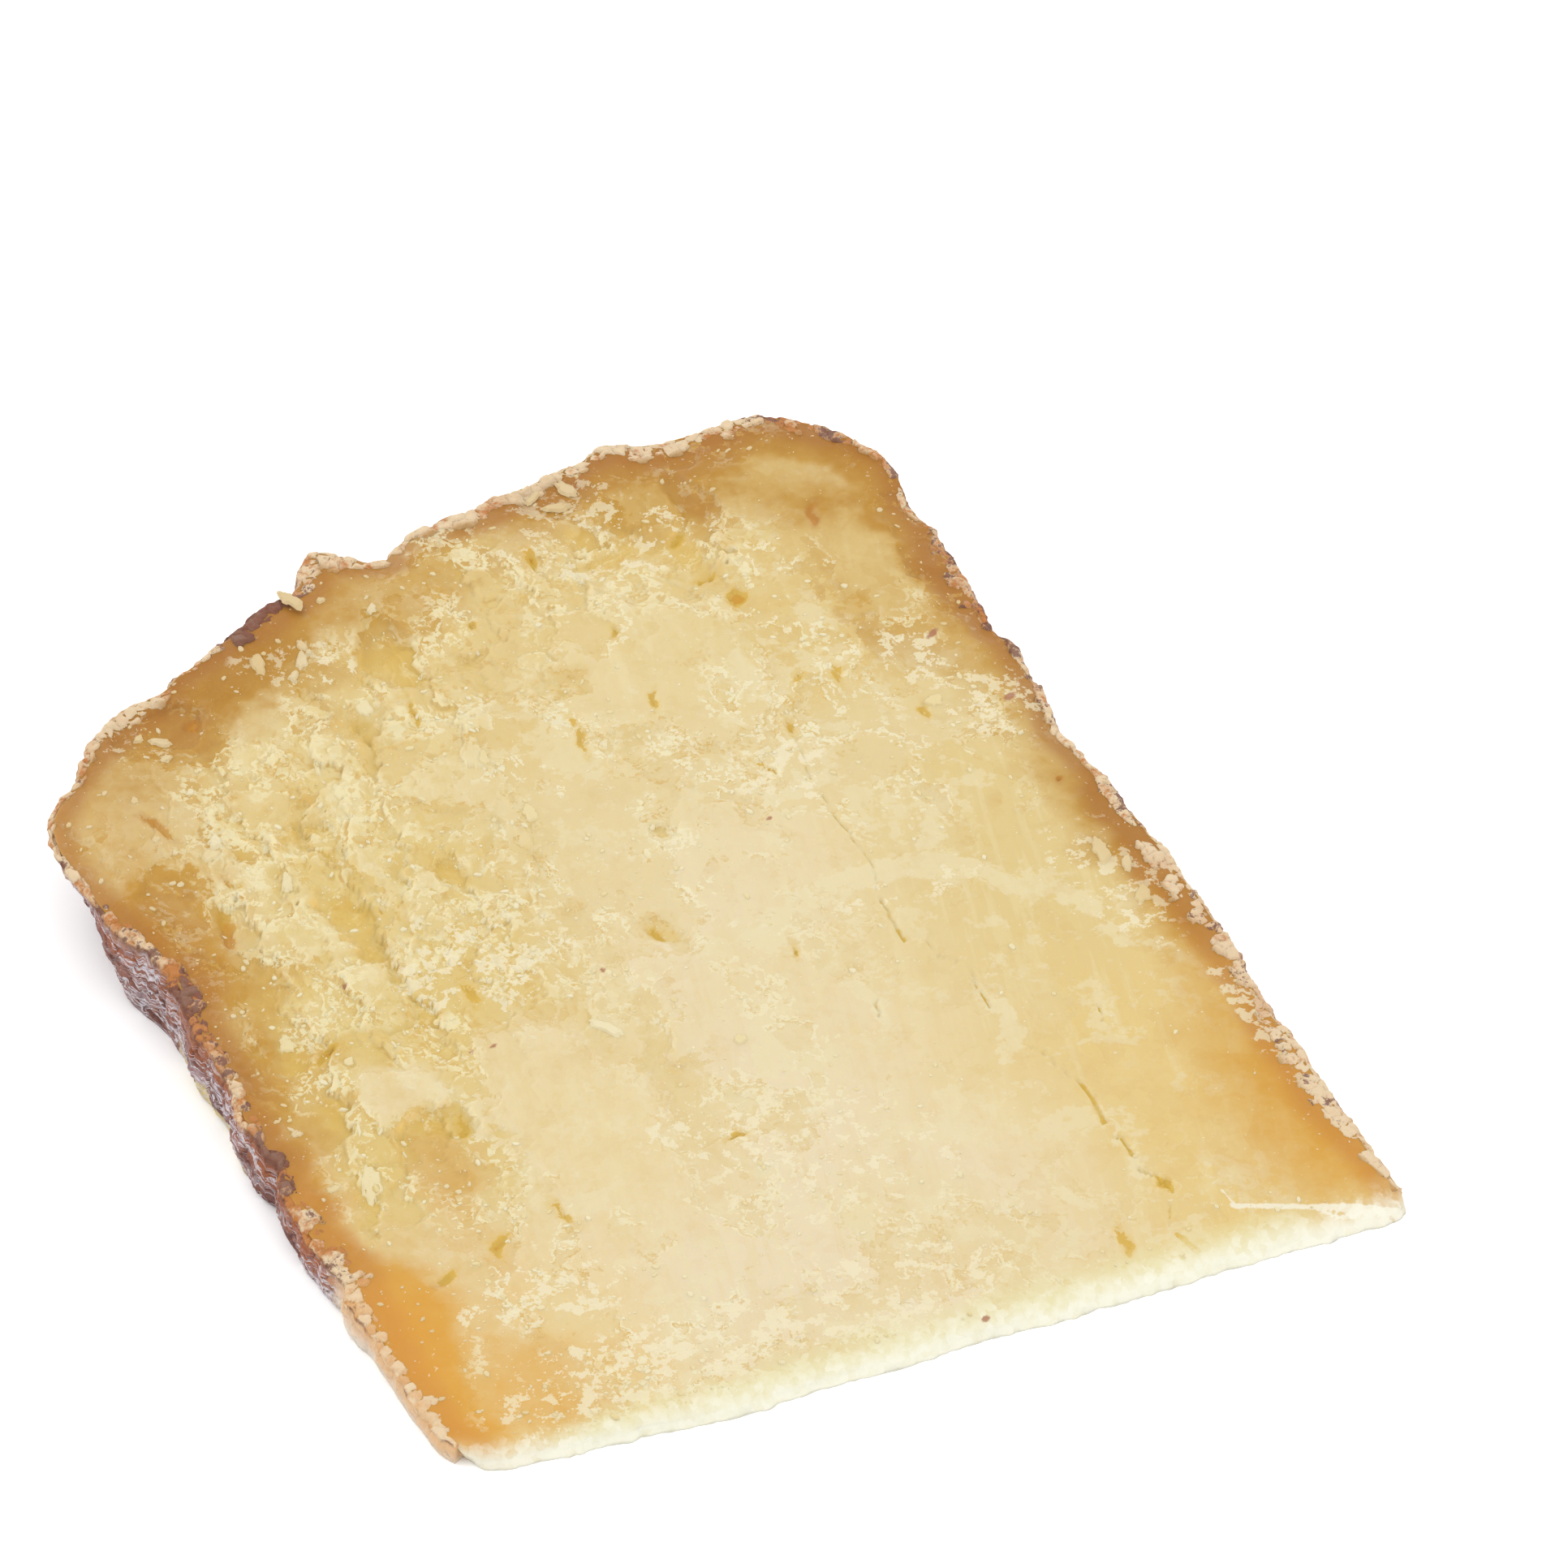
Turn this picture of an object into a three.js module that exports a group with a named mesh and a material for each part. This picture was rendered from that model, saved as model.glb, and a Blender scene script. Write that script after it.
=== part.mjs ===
// A thin slice of an aged sheep's milk cheese, cut out of a whole wheel like a slim piece of cake.
//
// The slice lies on one of its two cut faces. Millimetres, +Z up. X runs across the wheel's
// height, so the wheel's two flat rind faces are the slice's left and right sides. Y runs from
// the wheel's axis, where the slice is thinnest, out to the wheel's round side, the heel. Z is
// the slice's thickness. The outline is drawn from a point in the middle of the thin edge, and
// the finished solid is then moved so that its origin is the middle of its base.
import * as THREE from 'three';

// Driving dimensions of the wheel and of the slice
const WHEEL_HEIGHT = 82;
const WHEEL_RADIUS = 107.5;
const TIP_THICKNESS = 1.6;
const HEEL_THICKNESS = 11.4;

// How fine the faceted solid is
const CELLS_ACROSS = 54;
const CELLS_ALONG = 70;
const WALL_ROWS = 3;
const OUTLINE_STEP = 0.25;

// Relief of the cut face, in millimetres
const TERRACE_DROP = 0.45;
const LOWER_TERRACE_DROP = 0.4;
const CRAG_DEPTH = 1.7;
const RIM_DROP = 0.4;
const RIM_WIDTH = 2.2;

// Relief of the rind, in millimetres
const RIND_BULGE = 0.5;
const RIND_LUMP = 0.55;
const FOOT_TUCK = 0.6;
const SHOULDER_UNDERCUT = 5;

const HALF = WHEEL_HEIGHT / 2;

// The corners of the section through the wheel, anticlockwise, with the radius that rounds each.
// The heel leans: its left shoulder is worn away in two slants, its right one is nearly square.
const CORNERS = [
  { name: 'tip left', x: -HALF + 1.1, y: 1.2, radius: 5 },
  { name: 'tip middle', x: -20, y: -1.1, radius: 40 },
  { name: 'tip right', x: HALF - 0.7, y: -1.5, radius: 1.5 },
  { name: 'heel right', x: HALF + 1.4, y: WHEEL_RADIUS + 0.5, radius: 10 },
  { name: 'heel top', x: 14, y: WHEEL_RADIUS, radius: 25 },
  { name: 'heel slope', x: -13, y: WHEEL_RADIUS - 7.5, radius: 25 },
  { name: 'heel shoulder', x: -30.5, y: WHEEL_RADIUS - 15.2, radius: 12 },
  { name: 'heel left', x: -HALF + 0.2, y: WHEEL_RADIUS - 26, radius: 8 },
];
const SIDE_ENDS = ['tip left', 'tip right', 'heel right', 'heel left'];

// Places where the rind stands out or is worn back: a centre, how far out, and how wide
const RIND_SWELLINGS = [
  { x: HALF, y: 40, out: 1.1, width: 13 },
  { x: HALF, y: 60, out: -0.8, width: 6 },
  { x: HALF, y: 86, out: 0.9, width: 8 },
  { x: HALF, y: 97, out: 0.8, width: 4 },
  { x: 22.5, y: WHEEL_RADIUS, out: 1.3, width: 2.6 },
  { x: 10, y: WHEEL_RADIUS, out: -0.6, width: 5 },
  { x: -6.3, y: WHEEL_RADIUS - 4.5, out: 4.2, width: 3 },
  { x: -2.4, y: WHEEL_RADIUS - 4, out: -1.8, width: 1.8 },
  { x: -26, y: WHEEL_RADIUS - 13, out: -0.6, width: 2 },
  { x: -HALF, y: 60, out: -2.2, width: 8 },
  { x: -HALF, y: 48, out: -1.2, width: 5 },
  { x: -HALF, y: 37, out: -1.2, width: 2 },
];

// Eyes and torn hollows in the cut face: a centre, the two half widths and the depth
const HOLLOWS = [
  { name: 'eye by the heel', x: 23.4, y: 85.7, across: 1.3, along: 2.0, depth: 2.2 },
  { name: 'brown hollow', x: -24.2, y: 87.5, across: 3.6, along: 3.0, depth: 2.2 },
  { name: 'deep pit', x: -31.0, y: 65.0, across: 1.6, along: 3.6, depth: 3.0 },
  { name: 'middle pit', x: 0.4, y: 51.0, across: 1.6, along: 1.8, depth: 1.6 },
  { name: 'slot', x: -24.2, y: 36.0, across: 1.0, along: 2.0, depth: 1.6 },
  { name: 'long valley', x: -16.5, y: 66.0, across: 2.6, along: 13.0, depth: 1.3 },
  { name: 'upper valley', x: -20.5, y: 74.0, across: 2.4, along: 8.0, depth: 1.5 },
  { name: 'heel step', x: -8.0, y: 92.0, across: 5.0, along: 3.4, depth: 1.2 },
];

// Where the tip's right corner has broken away down to a small sloping facet
const FACET = { fromX: 24, toX: 41, ridgeLeftY: 6.0, ridgeRightY: -1.5, drop: 1.0, run: 4.5 };

const TAPER = (HEEL_THICKNESS - TIP_THICKNESS) / WHEEL_RADIUS;

// A repeatable number from 0 to 1 for a whole-numbered place on a lattice
function latticeValue(column, row, layer) {
  let mix = Math.imul(column, 374761393) ^ Math.imul(row, 668265263) ^ Math.imul(layer, 974634777);
  mix = Math.imul(mix ^ (mix >>> 13), 1274126177);
  return ((mix ^ (mix >>> 16)) >>> 0) / 4294967296;
}

function ease(t) {
  return t * t * (3 - 2 * t);
}

function blend(a, b, t) {
  return a + (b - a) * t;
}

// 0 below one value, 1 above the other, and a smooth rise between
function rise(from, to, value) {
  const t = (value - from) / (to - from);
  return ease(Math.min(1, Math.max(0, t)));
}

function smoothNoise(x, y, layer) {
  const column = Math.floor(x);
  const row = Math.floor(y);
  const across = ease(x - column);
  const along = ease(y - row);
  const near = blend(latticeValue(column, row, layer), latticeValue(column + 1, row, layer), across);
  const far = blend(
    latticeValue(column, row + 1, layer), latticeValue(column + 1, row + 1, layer), across);
  return blend(near, far, along);
}

// Noise with finer and fainter layers on top, from 0 to 1
function layeredNoise(x, y, layer, layers) {
  let sum = 0;
  let weight = 1;
  let total = 0;
  for (let i = 0; i < layers; i += 1) {
    sum += weight * smoothNoise(x * 2 ** i, y * 2 ** i, layer + i);
    total += weight;
    weight *= 0.5;
  }
  return sum / total;
}

// The section's outline as closely spaced points: straight sides with a round arc at each corner
function roundedOutline(corners) {
  const points = [];
  const cornerMiddles = {};
  corners.forEach((corner, i) => {
    const before = corners[(i + corners.length - 1) % corners.length];
    const after = corners[(i + 1) % corners.length];
    const here = new THREE.Vector2(corner.x, corner.y);
    const back = new THREE.Vector2(before.x, before.y).sub(here).normalize();
    const ahead = new THREE.Vector2(after.x, after.y).sub(here).normalize();
    const halfAngle = Math.acos(back.dot(ahead)) / 2;
    const reach = corner.radius / Math.tan(halfAngle);
    const start = here.clone().addScaledVector(back, reach);
    const end = here.clone().addScaledVector(ahead, reach);
    const turn = Math.PI - 2 * halfAngle;
    const inward = back.clone().add(ahead).normalize();
    const centre = here.clone().addScaledVector(inward, corner.radius / Math.sin(halfAngle));
    const steps = 2 * Math.max(2, Math.round(turn * corner.radius / OUTLINE_STEP / 2));
    const startAngle = Math.atan2(start.y - centre.y, start.x - centre.x);
    for (let k = 0; k <= steps; k += 1) {
      const angle = startAngle + turn * k / steps;
      if (k === steps / 2) cornerMiddles[corner.name] = points.length;
      points.push(new THREE.Vector2(
        centre.x + corner.radius * Math.cos(angle), centre.y + corner.radius * Math.sin(angle)));
    }
    const next = nextArcStart(corners, i, after);
    const gap = end.distanceTo(next);
    const straightSteps = Math.floor(gap / OUTLINE_STEP);
    for (let k = 1; k < straightSteps; k += 1) {
      points.push(end.clone().lerp(next, k / straightSteps));
    }
  });
  return { points, cornerMiddles };
}

// Where the arc at the corner after corner i begins
function nextArcStart(corners, i, corner) {
  const before = corners[i];
  const after = corners[(i + 2) % corners.length];
  const here = new THREE.Vector2(corner.x, corner.y);
  const back = new THREE.Vector2(before.x, before.y).sub(here).normalize();
  const ahead = new THREE.Vector2(after.x, after.y).sub(here).normalize();
  const halfAngle = Math.acos(back.dot(ahead)) / 2;
  return here.addScaledVector(back, corner.radius / Math.tan(halfAngle));
}

// Move each outline point out or in along its normal: broad swellings and small lumps
function wearOutline(points) {
  const count = points.length;
  return points.map((point, i) => {
    const before = points[(i + count - 1) % count];
    const after = points[(i + 1) % count];
    const normal = new THREE.Vector2(after.y - before.y, before.x - after.x).normalize();
    const onRind = rise(0.5, 6, point.y);
    let out = RIND_LUMP * onRind * (2 * layeredNoise(point.x / 4, point.y / 4, 40, 2) - 1);
    for (const swelling of RIND_SWELLINGS) {
      const away = Math.hypot(point.x - swelling.x, point.y - swelling.y) / swelling.width;
      out += swelling.out * Math.exp(-away * away);
    }
    return point.clone().addScaledVector(normal, out);
  });
}

// Evenly spaced points along the outline from one corner's middle to the next
function sidePoints(points, from, to, cells) {
  const run = [];
  const last = to > from ? to : to + points.length;
  for (let i = from; i <= last; i += 1) run.push(points[i % points.length]);
  const lengths = [0];
  for (let i = 1; i < run.length; i += 1) lengths.push(lengths[i - 1] + run[i].distanceTo(run[i - 1]));
  const total = lengths[lengths.length - 1];
  const side = [];
  let i = 1;
  for (let k = 0; k <= cells; k += 1) {
    const goal = total * k / cells;
    while (i < run.length - 1 && lengths[i] < goal) i += 1;
    const t = (goal - lengths[i - 1]) / (lengths[i] - lengths[i - 1]);
    side.push(run[i - 1].clone().lerp(run[i], t));
  }
  return side;
}

// A point inside the four sides, by the blend that follows all four edges
function insidePoint(sides, column, row) {
  const u = column / CELLS_ACROSS;
  const v = row / CELLS_ALONG;
  const [tip, right, heel, left] = sides;
  const top = heel[CELLS_ACROSS - column];
  const west = left[CELLS_ALONG - row];
  const corner = (a, weight) => a.clone().multiplyScalar(weight);
  return tip[column].clone().multiplyScalar(1 - v)
    .addScaledVector(top, v)
    .addScaledVector(west, 1 - u)
    .addScaledVector(right[row], u)
    .sub(corner(tip[0], (1 - u) * (1 - v)))
    .sub(corner(tip[CELLS_ACROSS], u * (1 - v)))
    .sub(corner(heel[0], u * v))
    .sub(corner(heel[CELLS_ACROSS], (1 - u) * v));
}

function distanceToRim(point, rim) {
  let nearest = Infinity;
  for (let i = 0; i < rim.length; i += 2) nearest = Math.min(nearest, point.distanceTo(rim[i]));
  return nearest;
}

// How crumbly the paste is: most on the left and towards the heel, hardly at all on the lower right
function crumbliness(x, y) {
  const leftSide = rise(2, -22, x) * rise(8, 34, y);
  const heelSide = 0.8 * rise(68, 96, y) * rise(38, 18, x);
  return Math.min(1, leftSide + heelSide);
}

// How far a place on the rind belongs to the left shoulder, which is undercut
function shoulderShare(x, y) {
  return rise(0, -20, x) * rise(65, 78, y) * rise(97, 86, y);
}

function hollowDepth(x, y) {
  let depth = 0;
  for (const hollow of HOLLOWS) {
    const away = Math.hypot((x - hollow.x) / hollow.across, (y - hollow.y) / hollow.along);
    depth = Math.max(depth, hollow.depth * Math.exp(-Math.pow(away, 3)));
  }
  return depth;
}

function facetDepth(x, y) {
  const t = (x - FACET.fromX) / (FACET.toX - FACET.fromX);
  const ridgeY = blend(FACET.ridgeLeftY, FACET.ridgeRightY, Math.sqrt(Math.max(0, t)));
  return FACET.drop * rise(0, 0.15, t) * rise(0, FACET.run, ridgeY - y);
}

// Height of the cut face above the base. The knife left flat terraces, and the crumbly parts
// between them tore out as crags that run lengthwise.
function faceHeight(x, y, rimDistance) {
  const terrace = layeredNoise(x / 11, y / 14, 3, 3);
  const crumbly = crumbliness(x, y);
  const crag = layeredNoise(x / 5.5, y / 9, 11, 3);
  let drop = TERRACE_DROP * rise(0.50, 0.56, terrace);
  drop += LOWER_TERRACE_DROP * rise(0.60, 0.65, terrace);
  drop += CRAG_DEPTH * crumbly * rise(0.42, 0.80, crag);
  drop += hollowDepth(x, y) + facetDepth(x, y);
  drop += RIM_DROP * Math.exp(-Math.pow(rimDistance / RIM_WIDTH, 2));
  const plane = TIP_THICKNESS + TAPER * Math.max(0, y);
  const full = rise(-3, 14, y);
  return plane - drop * blend(0.35, 1, full);
}

function slice() {
  const { points, cornerMiddles } = roundedOutline(CORNERS);
  const worn = wearOutline(points);
  const cells = [CELLS_ACROSS, CELLS_ALONG, CELLS_ACROSS, CELLS_ALONG];
  const sides = SIDE_ENDS.map((name, i) => {
    const next = SIDE_ENDS[(i + 1) % SIDE_ENDS.length];
    return sidePoints(worn, cornerMiddles[name], cornerMiddles[next], cells[i]);
  });

  const positions = [];
  const triangles = [];
  const addPoint = (x, y, z) => positions.push(x, y, z) / 3 - 1;

  // The cut face, a grid that follows the outline
  const face = [];
  for (let row = 0; row <= CELLS_ALONG; row += 1) {
    face.push([]);
    for (let column = 0; column <= CELLS_ACROSS; column += 1) {
      const point = insidePoint(sides, column, row);
      const height = faceHeight(point.x, point.y, distanceToRim(point, worn));
      face[row].push(addPoint(point.x, point.y, height));
    }
  }
  for (let row = 0; row < CELLS_ALONG; row += 1) {
    for (let column = 0; column < CELLS_ACROSS; column += 1) {
      const a = face[row][column];
      const b = face[row][column + 1];
      const c = face[row + 1][column + 1];
      const d = face[row + 1][column];
      triangles.push(a, b, c, a, c, d);
    }
  }

  // The rim of the face, anticlockwise
  const rim = [];
  for (let column = 0; column < CELLS_ACROSS; column += 1) rim.push(face[0][column]);
  for (let row = 0; row < CELLS_ALONG; row += 1) rim.push(face[row][CELLS_ACROSS]);
  for (let column = CELLS_ACROSS; column > 0; column -= 1) rim.push(face[CELLS_ALONG][column]);
  for (let row = CELLS_ALONG; row > 0; row -= 1) rim.push(face[row][0]);

  // The rind, rows of points from the rim down to the base
  const place = (index) => new THREE.Vector3().fromArray(positions, index * 3);
  const rings = [rim];
  for (let row = 1; row <= WALL_ROWS; row += 1) {
    const down = row / WALL_ROWS;
    rings.push(rim.map((index, i) => {
      const here = place(index);
      const before = place(rim[(i + rim.length - 1) % rim.length]);
      const after = place(rim[(i + 1) % rim.length]);
      const outward = new THREE.Vector2(after.y - before.y, before.x - after.x).normalize();
      const thick = here.z / HEEL_THICKNESS;
      const lump = 2 * layeredNoise(i / 2.6, down * 2.1, 60, 2) - 1;
      let out = thick * (RIND_BULGE * Math.sin(Math.PI * down) + RIND_LUMP * lump * (1 - down));
      out -= FOOT_TUCK * thick * down ** 3;
      out -= SHOULDER_UNDERCUT * down * shoulderShare(here.x, here.y);
      return addPoint(here.x + outward.x * out, here.y + outward.y * out, here.z * (1 - down));
    }));
  }
  for (let row = 0; row < WALL_ROWS; row += 1) {
    for (let i = 0; i < rim.length; i += 1) {
      const next = (i + 1) % rim.length;
      const a = rings[row][i];
      const b = rings[row][next];
      const c = rings[row + 1][next];
      const d = rings[row + 1][i];
      triangles.push(a, d, c, a, c, b);
    }
  }

  // The flat face it lies on, a fan from its middle
  const foot = rings[WALL_ROWS];
  const middle = addPoint(0, WHEEL_RADIUS / 2, 0);
  for (let i = 0; i < foot.length; i += 1) {
    triangles.push(middle, foot[(i + 1) % foot.length], foot[i]);
  }

  const geometry = new THREE.BufferGeometry();
  geometry.setAttribute('position', new THREE.Float32BufferAttribute(positions, 3));
  geometry.setIndex(triangles);
  geometry.computeVertexNormals();
  geometry.computeBoundingBox();
  return geometry;
}

const paste = new THREE.MeshStandardMaterial({ color: 0xe6d29a, roughness: 0.55, metalness: 0 });

const cheese = new THREE.Mesh(slice(), paste);
cheese.name = 'cheese_slice';
const box = cheese.geometry.boundingBox;
cheese.position.set(-(box.min.x + box.max.x) / 2, -(box.min.y + box.max.y) / 2, 0);

const group = new THREE.Group();
group.add(cheese);

export default group;
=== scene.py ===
# %% [markdown]
# This lesson dresses a thin slice of hard, aged sheep's milk cheese. The slice was cut out of a
# whole wheel like a slim piece of cake, and it lies on one of its two cut faces. Three sides carry
# rind: the left and right sides are the wheel's flat faces, and the heel, at the back, is its
# round side. The thin front edge is the middle of the wheel and has none.
#
# We start by loading the imported model. It is the frame: everything we make has to sit exactly
# where that solid sits.

# %% Load the frame
import math

import bmesh
import bpy
import numpy as np
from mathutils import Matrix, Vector
from mathutils.kdtree import KDTree


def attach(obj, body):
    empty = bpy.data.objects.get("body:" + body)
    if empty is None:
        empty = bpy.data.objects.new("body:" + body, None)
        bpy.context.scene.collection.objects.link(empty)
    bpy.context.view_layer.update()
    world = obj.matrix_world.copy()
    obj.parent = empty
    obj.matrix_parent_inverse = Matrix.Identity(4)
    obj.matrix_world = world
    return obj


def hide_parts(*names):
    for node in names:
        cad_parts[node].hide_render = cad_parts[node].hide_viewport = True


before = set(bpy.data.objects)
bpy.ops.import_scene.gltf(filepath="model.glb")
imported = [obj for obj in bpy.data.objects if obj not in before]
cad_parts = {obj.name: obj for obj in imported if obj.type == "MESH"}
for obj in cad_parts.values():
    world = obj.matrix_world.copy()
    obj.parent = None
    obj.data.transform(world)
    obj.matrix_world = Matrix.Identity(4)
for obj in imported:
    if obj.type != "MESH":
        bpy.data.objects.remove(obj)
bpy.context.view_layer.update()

MM = 0.001

# %% [markdown]
# The sizes are those of the wheel that the slice came from. The slice is as wide as the wheel is
# high and as long as the wheel's radius, and its thickness grows evenly from the tip to the heel.
# All the drawing is done in millimetres, measured from the middle of the thin edge, because that
# is how one would measure the real slice. SLICE_MIDDLE moves it into the frame's metres.

# %% Sizes of the slice
WHEEL_HEIGHT = 82.0
WHEEL_RADIUS = 107.5
TIP_THICKNESS = 1.6
HEEL_THICKNESS = 11.4
HALF = WHEEL_HEIGHT / 2
TAPER = (HEEL_THICKNESS - TIP_THICKNESS) / WHEEL_RADIUS
SLICE_MIDDLE = (1.345, 54.014)
print("growth in thickness, mm per mm:", round(TAPER, 4))

# %% [markdown]
# Cheese breaks at random, but this lesson must give the same cheese each time. So the
# randomness comes from a lattice of repeatable numbers, blended smoothly between the lattice
# points. Blender's own noise would also be repeatable. A lattice of our own is used because the
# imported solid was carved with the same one, and the big crags then fall in the same places.

# %% Repeatable noise
def lattice_value(column, row, layer):
    mix = (column * 374761393) ^ (row * 668265263) ^ (layer * 974634777)
    mix &= 0xFFFFFFFF
    mix = ((mix ^ (mix >> 13)) * 1274126177) & 0xFFFFFFFF
    return ((mix ^ (mix >> 16)) & 0xFFFFFFFF) / 4294967296.0


def ease(t):
    return t * t * (3 - 2 * t)


def blend(a, b, t):
    return a + (b - a) * t


def rise(start, end, value):
    """0 below start, 1 above end, and a smooth rise between."""
    return ease(np.clip((value - start) / (end - start), 0, 1))


def smooth_noise(x, y, layer):
    column = np.floor(x).astype(np.int64)
    row = np.floor(y).astype(np.int64)
    across = ease(x - column)
    along = ease(y - row)
    ends = [
        blend(lattice_value(column, level, layer), lattice_value(column + 1, level, layer), across)
        for level in (row, row + 1)
    ]
    return blend(*ends, along)


def layered_noise(x, y, layer, layers, fade=0.5):
    """Noise with finer and fainter layers on top, from 0 to 1."""
    total = 0
    weight = 1
    weights = 0
    for i in range(layers):
        total = total + weight * smooth_noise(x * 2**i, y * 2**i, layer + i)
        weights += weight
        weight *= fade
    return total / weights


print("noise at one place:", float(smooth_noise(np.array(1.3), np.array(2.6), 3).round(3)))

# %% [markdown]
# Two uses of the noise come back again and again. Moving the places about before a shape is
# drawn frays its edges. And cheese breaks into lumps, which are drawn as a mosaic: each place
# belongs to the nearest of many scattered middles, and is close to a joint where the next
# nearest middle is hardly farther.

# %% Frayed edges and broken lumps
def frayed(x, y, reach):
    """Each place moved about by fine noise, up to about the reach either way."""
    move_x = layered_noise(x / 2.6, y / 2.6, 21, 3, 0.65) - 0.5
    move_y = layered_noise(x / 2.6, y / 2.6, 26, 3, 0.65) - 0.5
    return x + 2 * reach * move_x, y + 2 * reach * move_y


def chunks(x, y, layer):
    """Broken lumps: distance to the nearest middle and to the next one, a tone and a place across."""
    column = np.floor(x).astype(np.int64)
    row = np.floor(y).astype(np.int64)
    nearest = np.full(x.shape, 9.0)
    second = np.full(x.shape, 9.0)
    tone = np.zeros(x.shape)
    lean = np.zeros(x.shape)
    for step_x in (-1, 0, 1):
        for step_y in (-1, 0, 1):
            c = column + step_x
            r = row + step_y
            middle_x = c + 0.1 + 0.8 * lattice_value(c, r, layer)
            middle_y = r + 0.1 + 0.8 * lattice_value(c, r, layer + 1)
            away = np.hypot(x - middle_x, y - middle_y)
            closer = away < nearest
            second = np.where(closer, nearest, np.minimum(second, away))
            tone = np.where(closer, lattice_value(c, r, layer + 2), tone)
            lean = np.where(closer, x - middle_x - 0.4 * (y - middle_y), lean)
            nearest = np.where(closer, away, nearest)
    return nearest, second, tone, lean


moved = frayed(np.array(10.0), np.array(20.0), 1.1)
print("frayed by 1.1 mm, (10, 20) moves to", [round(float(part), 2) for part in moved])

# %% [markdown]
# The outline is a polygon with an arc at each corner. At the heel it isn't square: a slope and a
# shoulder cut off its left corner.

# %% The outline of the section
OUTLINE_STEP = 0.25
# Corners: name, place, radius of the arc
CORNERS = [
    ("tip left", -HALF + 1.1, 1.2, 5),
    ("tip middle", -20, -1.1, 40),
    ("tip right", HALF - 0.7, -1.5, 1.5),
    ("heel right", HALF + 1.4, WHEEL_RADIUS + 0.5, 10),
    ("heel top", 14, WHEEL_RADIUS, 25),
    ("heel slope", -13, WHEEL_RADIUS - 7.5, 25),
    ("heel shoulder", -30.5, WHEEL_RADIUS - 15.2, 12),
    ("heel left", -HALF + 0.2, WHEEL_RADIUS - 26, 8),
]


def corner_arc(i):
    """Centre, start, end and turn of the arc that rounds corner i."""
    _, x, y, radius = CORNERS[i]
    here = np.array([x, y], float)
    back = np.array(CORNERS[i - 1][1:3], float) - here
    ahead = np.array(CORNERS[(i + 1) % len(CORNERS)][1:3], float) - here
    back /= np.linalg.norm(back)
    ahead /= np.linalg.norm(ahead)
    half_angle = math.acos(back @ ahead) / 2
    reach = radius / math.tan(half_angle)
    inward = back + ahead
    inward /= np.linalg.norm(inward)
    centre = here + inward * radius / math.sin(half_angle)
    return centre, here + back * reach, here + ahead * reach, math.pi - 2 * half_angle


def rounded_outline():
    points = []
    middles = {}
    for i, (name, _, _, radius) in enumerate(CORNERS):
        centre, start, end, turn = corner_arc(i)
        steps = 2 * max(2, round(turn * radius / OUTLINE_STEP / 2))
        first = math.atan2(start[1] - centre[1], start[0] - centre[0])
        middles[name] = len(points) + steps // 2
        for k in range(steps + 1):
            angle = first + turn * k / steps
            points.append(centre + radius * np.array([math.cos(angle), math.sin(angle)]))
        following = corner_arc((i + 1) % len(CORNERS))[1]
        straight = int(np.linalg.norm(following - end) / OUTLINE_STEP)
        for k in range(1, straight):
            points.append(end + (following - end) * k / straight)
    return np.array(points), middles


section, corner_middles = rounded_outline()
print("outline points:", len(section))

# %% [markdown]
# The rind is worn, so no side of the slice is straight. Broad swellings and small lumps push
# each outline point out or in along its normal. Four named corners then cut the outline into
# four sides, and each side is sampled evenly, so that a grid can be stretched between them.

# %% Wear the outline and cut it into sides
COLUMNS = 264
ROWS = 344
RIND_LUMP = 0.55
SIDE_ENDS = ["tip left", "tip right", "heel right", "heel left"]
# Where the rind stands out or is worn back: centre, how far out, how wide
RIND_SWELLINGS = [
    (HALF, 40, 1.1, 13),
    (HALF, 60, -0.8, 6),
    (HALF, 86, 0.9, 8),
    (HALF, 97, 0.8, 4),
    (22.5, WHEEL_RADIUS, 1.3, 2.6),
    (10, WHEEL_RADIUS, -0.6, 5),
    (-6.3, WHEEL_RADIUS - 4.5, 4.2, 3),
    (-2.4, WHEEL_RADIUS - 4, -1.8, 1.8),
    (-26, WHEEL_RADIUS - 13, -0.6, 2),
    (-HALF, 60, -2.2, 8),
    (-HALF, 48, -1.2, 5),
    (-HALF, 37, -1.2, 2),
]


def outward_normals(points):
    run = np.roll(points, -1, axis=0) - np.roll(points, 1, axis=0)
    normals = np.stack([run[:, 1], -run[:, 0]], axis=1)
    return normals / np.linalg.norm(normals, axis=1)[:, None]


def worn_outline(points):
    x, y = points.T
    on_rind = rise(0.5, 6, y)
    out = RIND_LUMP * on_rind * (2 * layered_noise(x / 4, y / 4, 40, 2) - 1)
    for middle_x, middle_y, push, width in RIND_SWELLINGS:
        out = out + push * np.exp(-(np.hypot(x - middle_x, y - middle_y) / width) ** 2)
    return points + outward_normals(points) * out[:, None]


def side_points(points, start, end, cells):
    last = end if end > start else end + len(points)
    run = points[np.arange(start, last + 1) % len(points)]
    lengths = np.concatenate([[0], np.cumsum(np.linalg.norm(np.diff(run, axis=0), axis=1))])
    goals = np.linspace(0, lengths[-1], cells + 1)
    return np.stack([np.interp(goals, lengths, run[:, k]) for k in (0, 1)], axis=1)


outline = worn_outline(section)


def sampled_sides(across, along):
    """The tip, right, heel and left side, each as evenly spaced points."""
    found = []
    for i, cells in enumerate((across, along, across, along)):
        start = corner_middles[SIDE_ENDS[i]]
        end = corner_middles[SIDE_ENDS[(i + 1) % 4]]
        found.append(side_points(outline, start, end, cells))
    return found


sides = sampled_sides(COLUMNS, ROWS)
print("outline points:", len(outline), "width and length, mm:", np.ptp(outline, axis=0).round(2))

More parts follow.
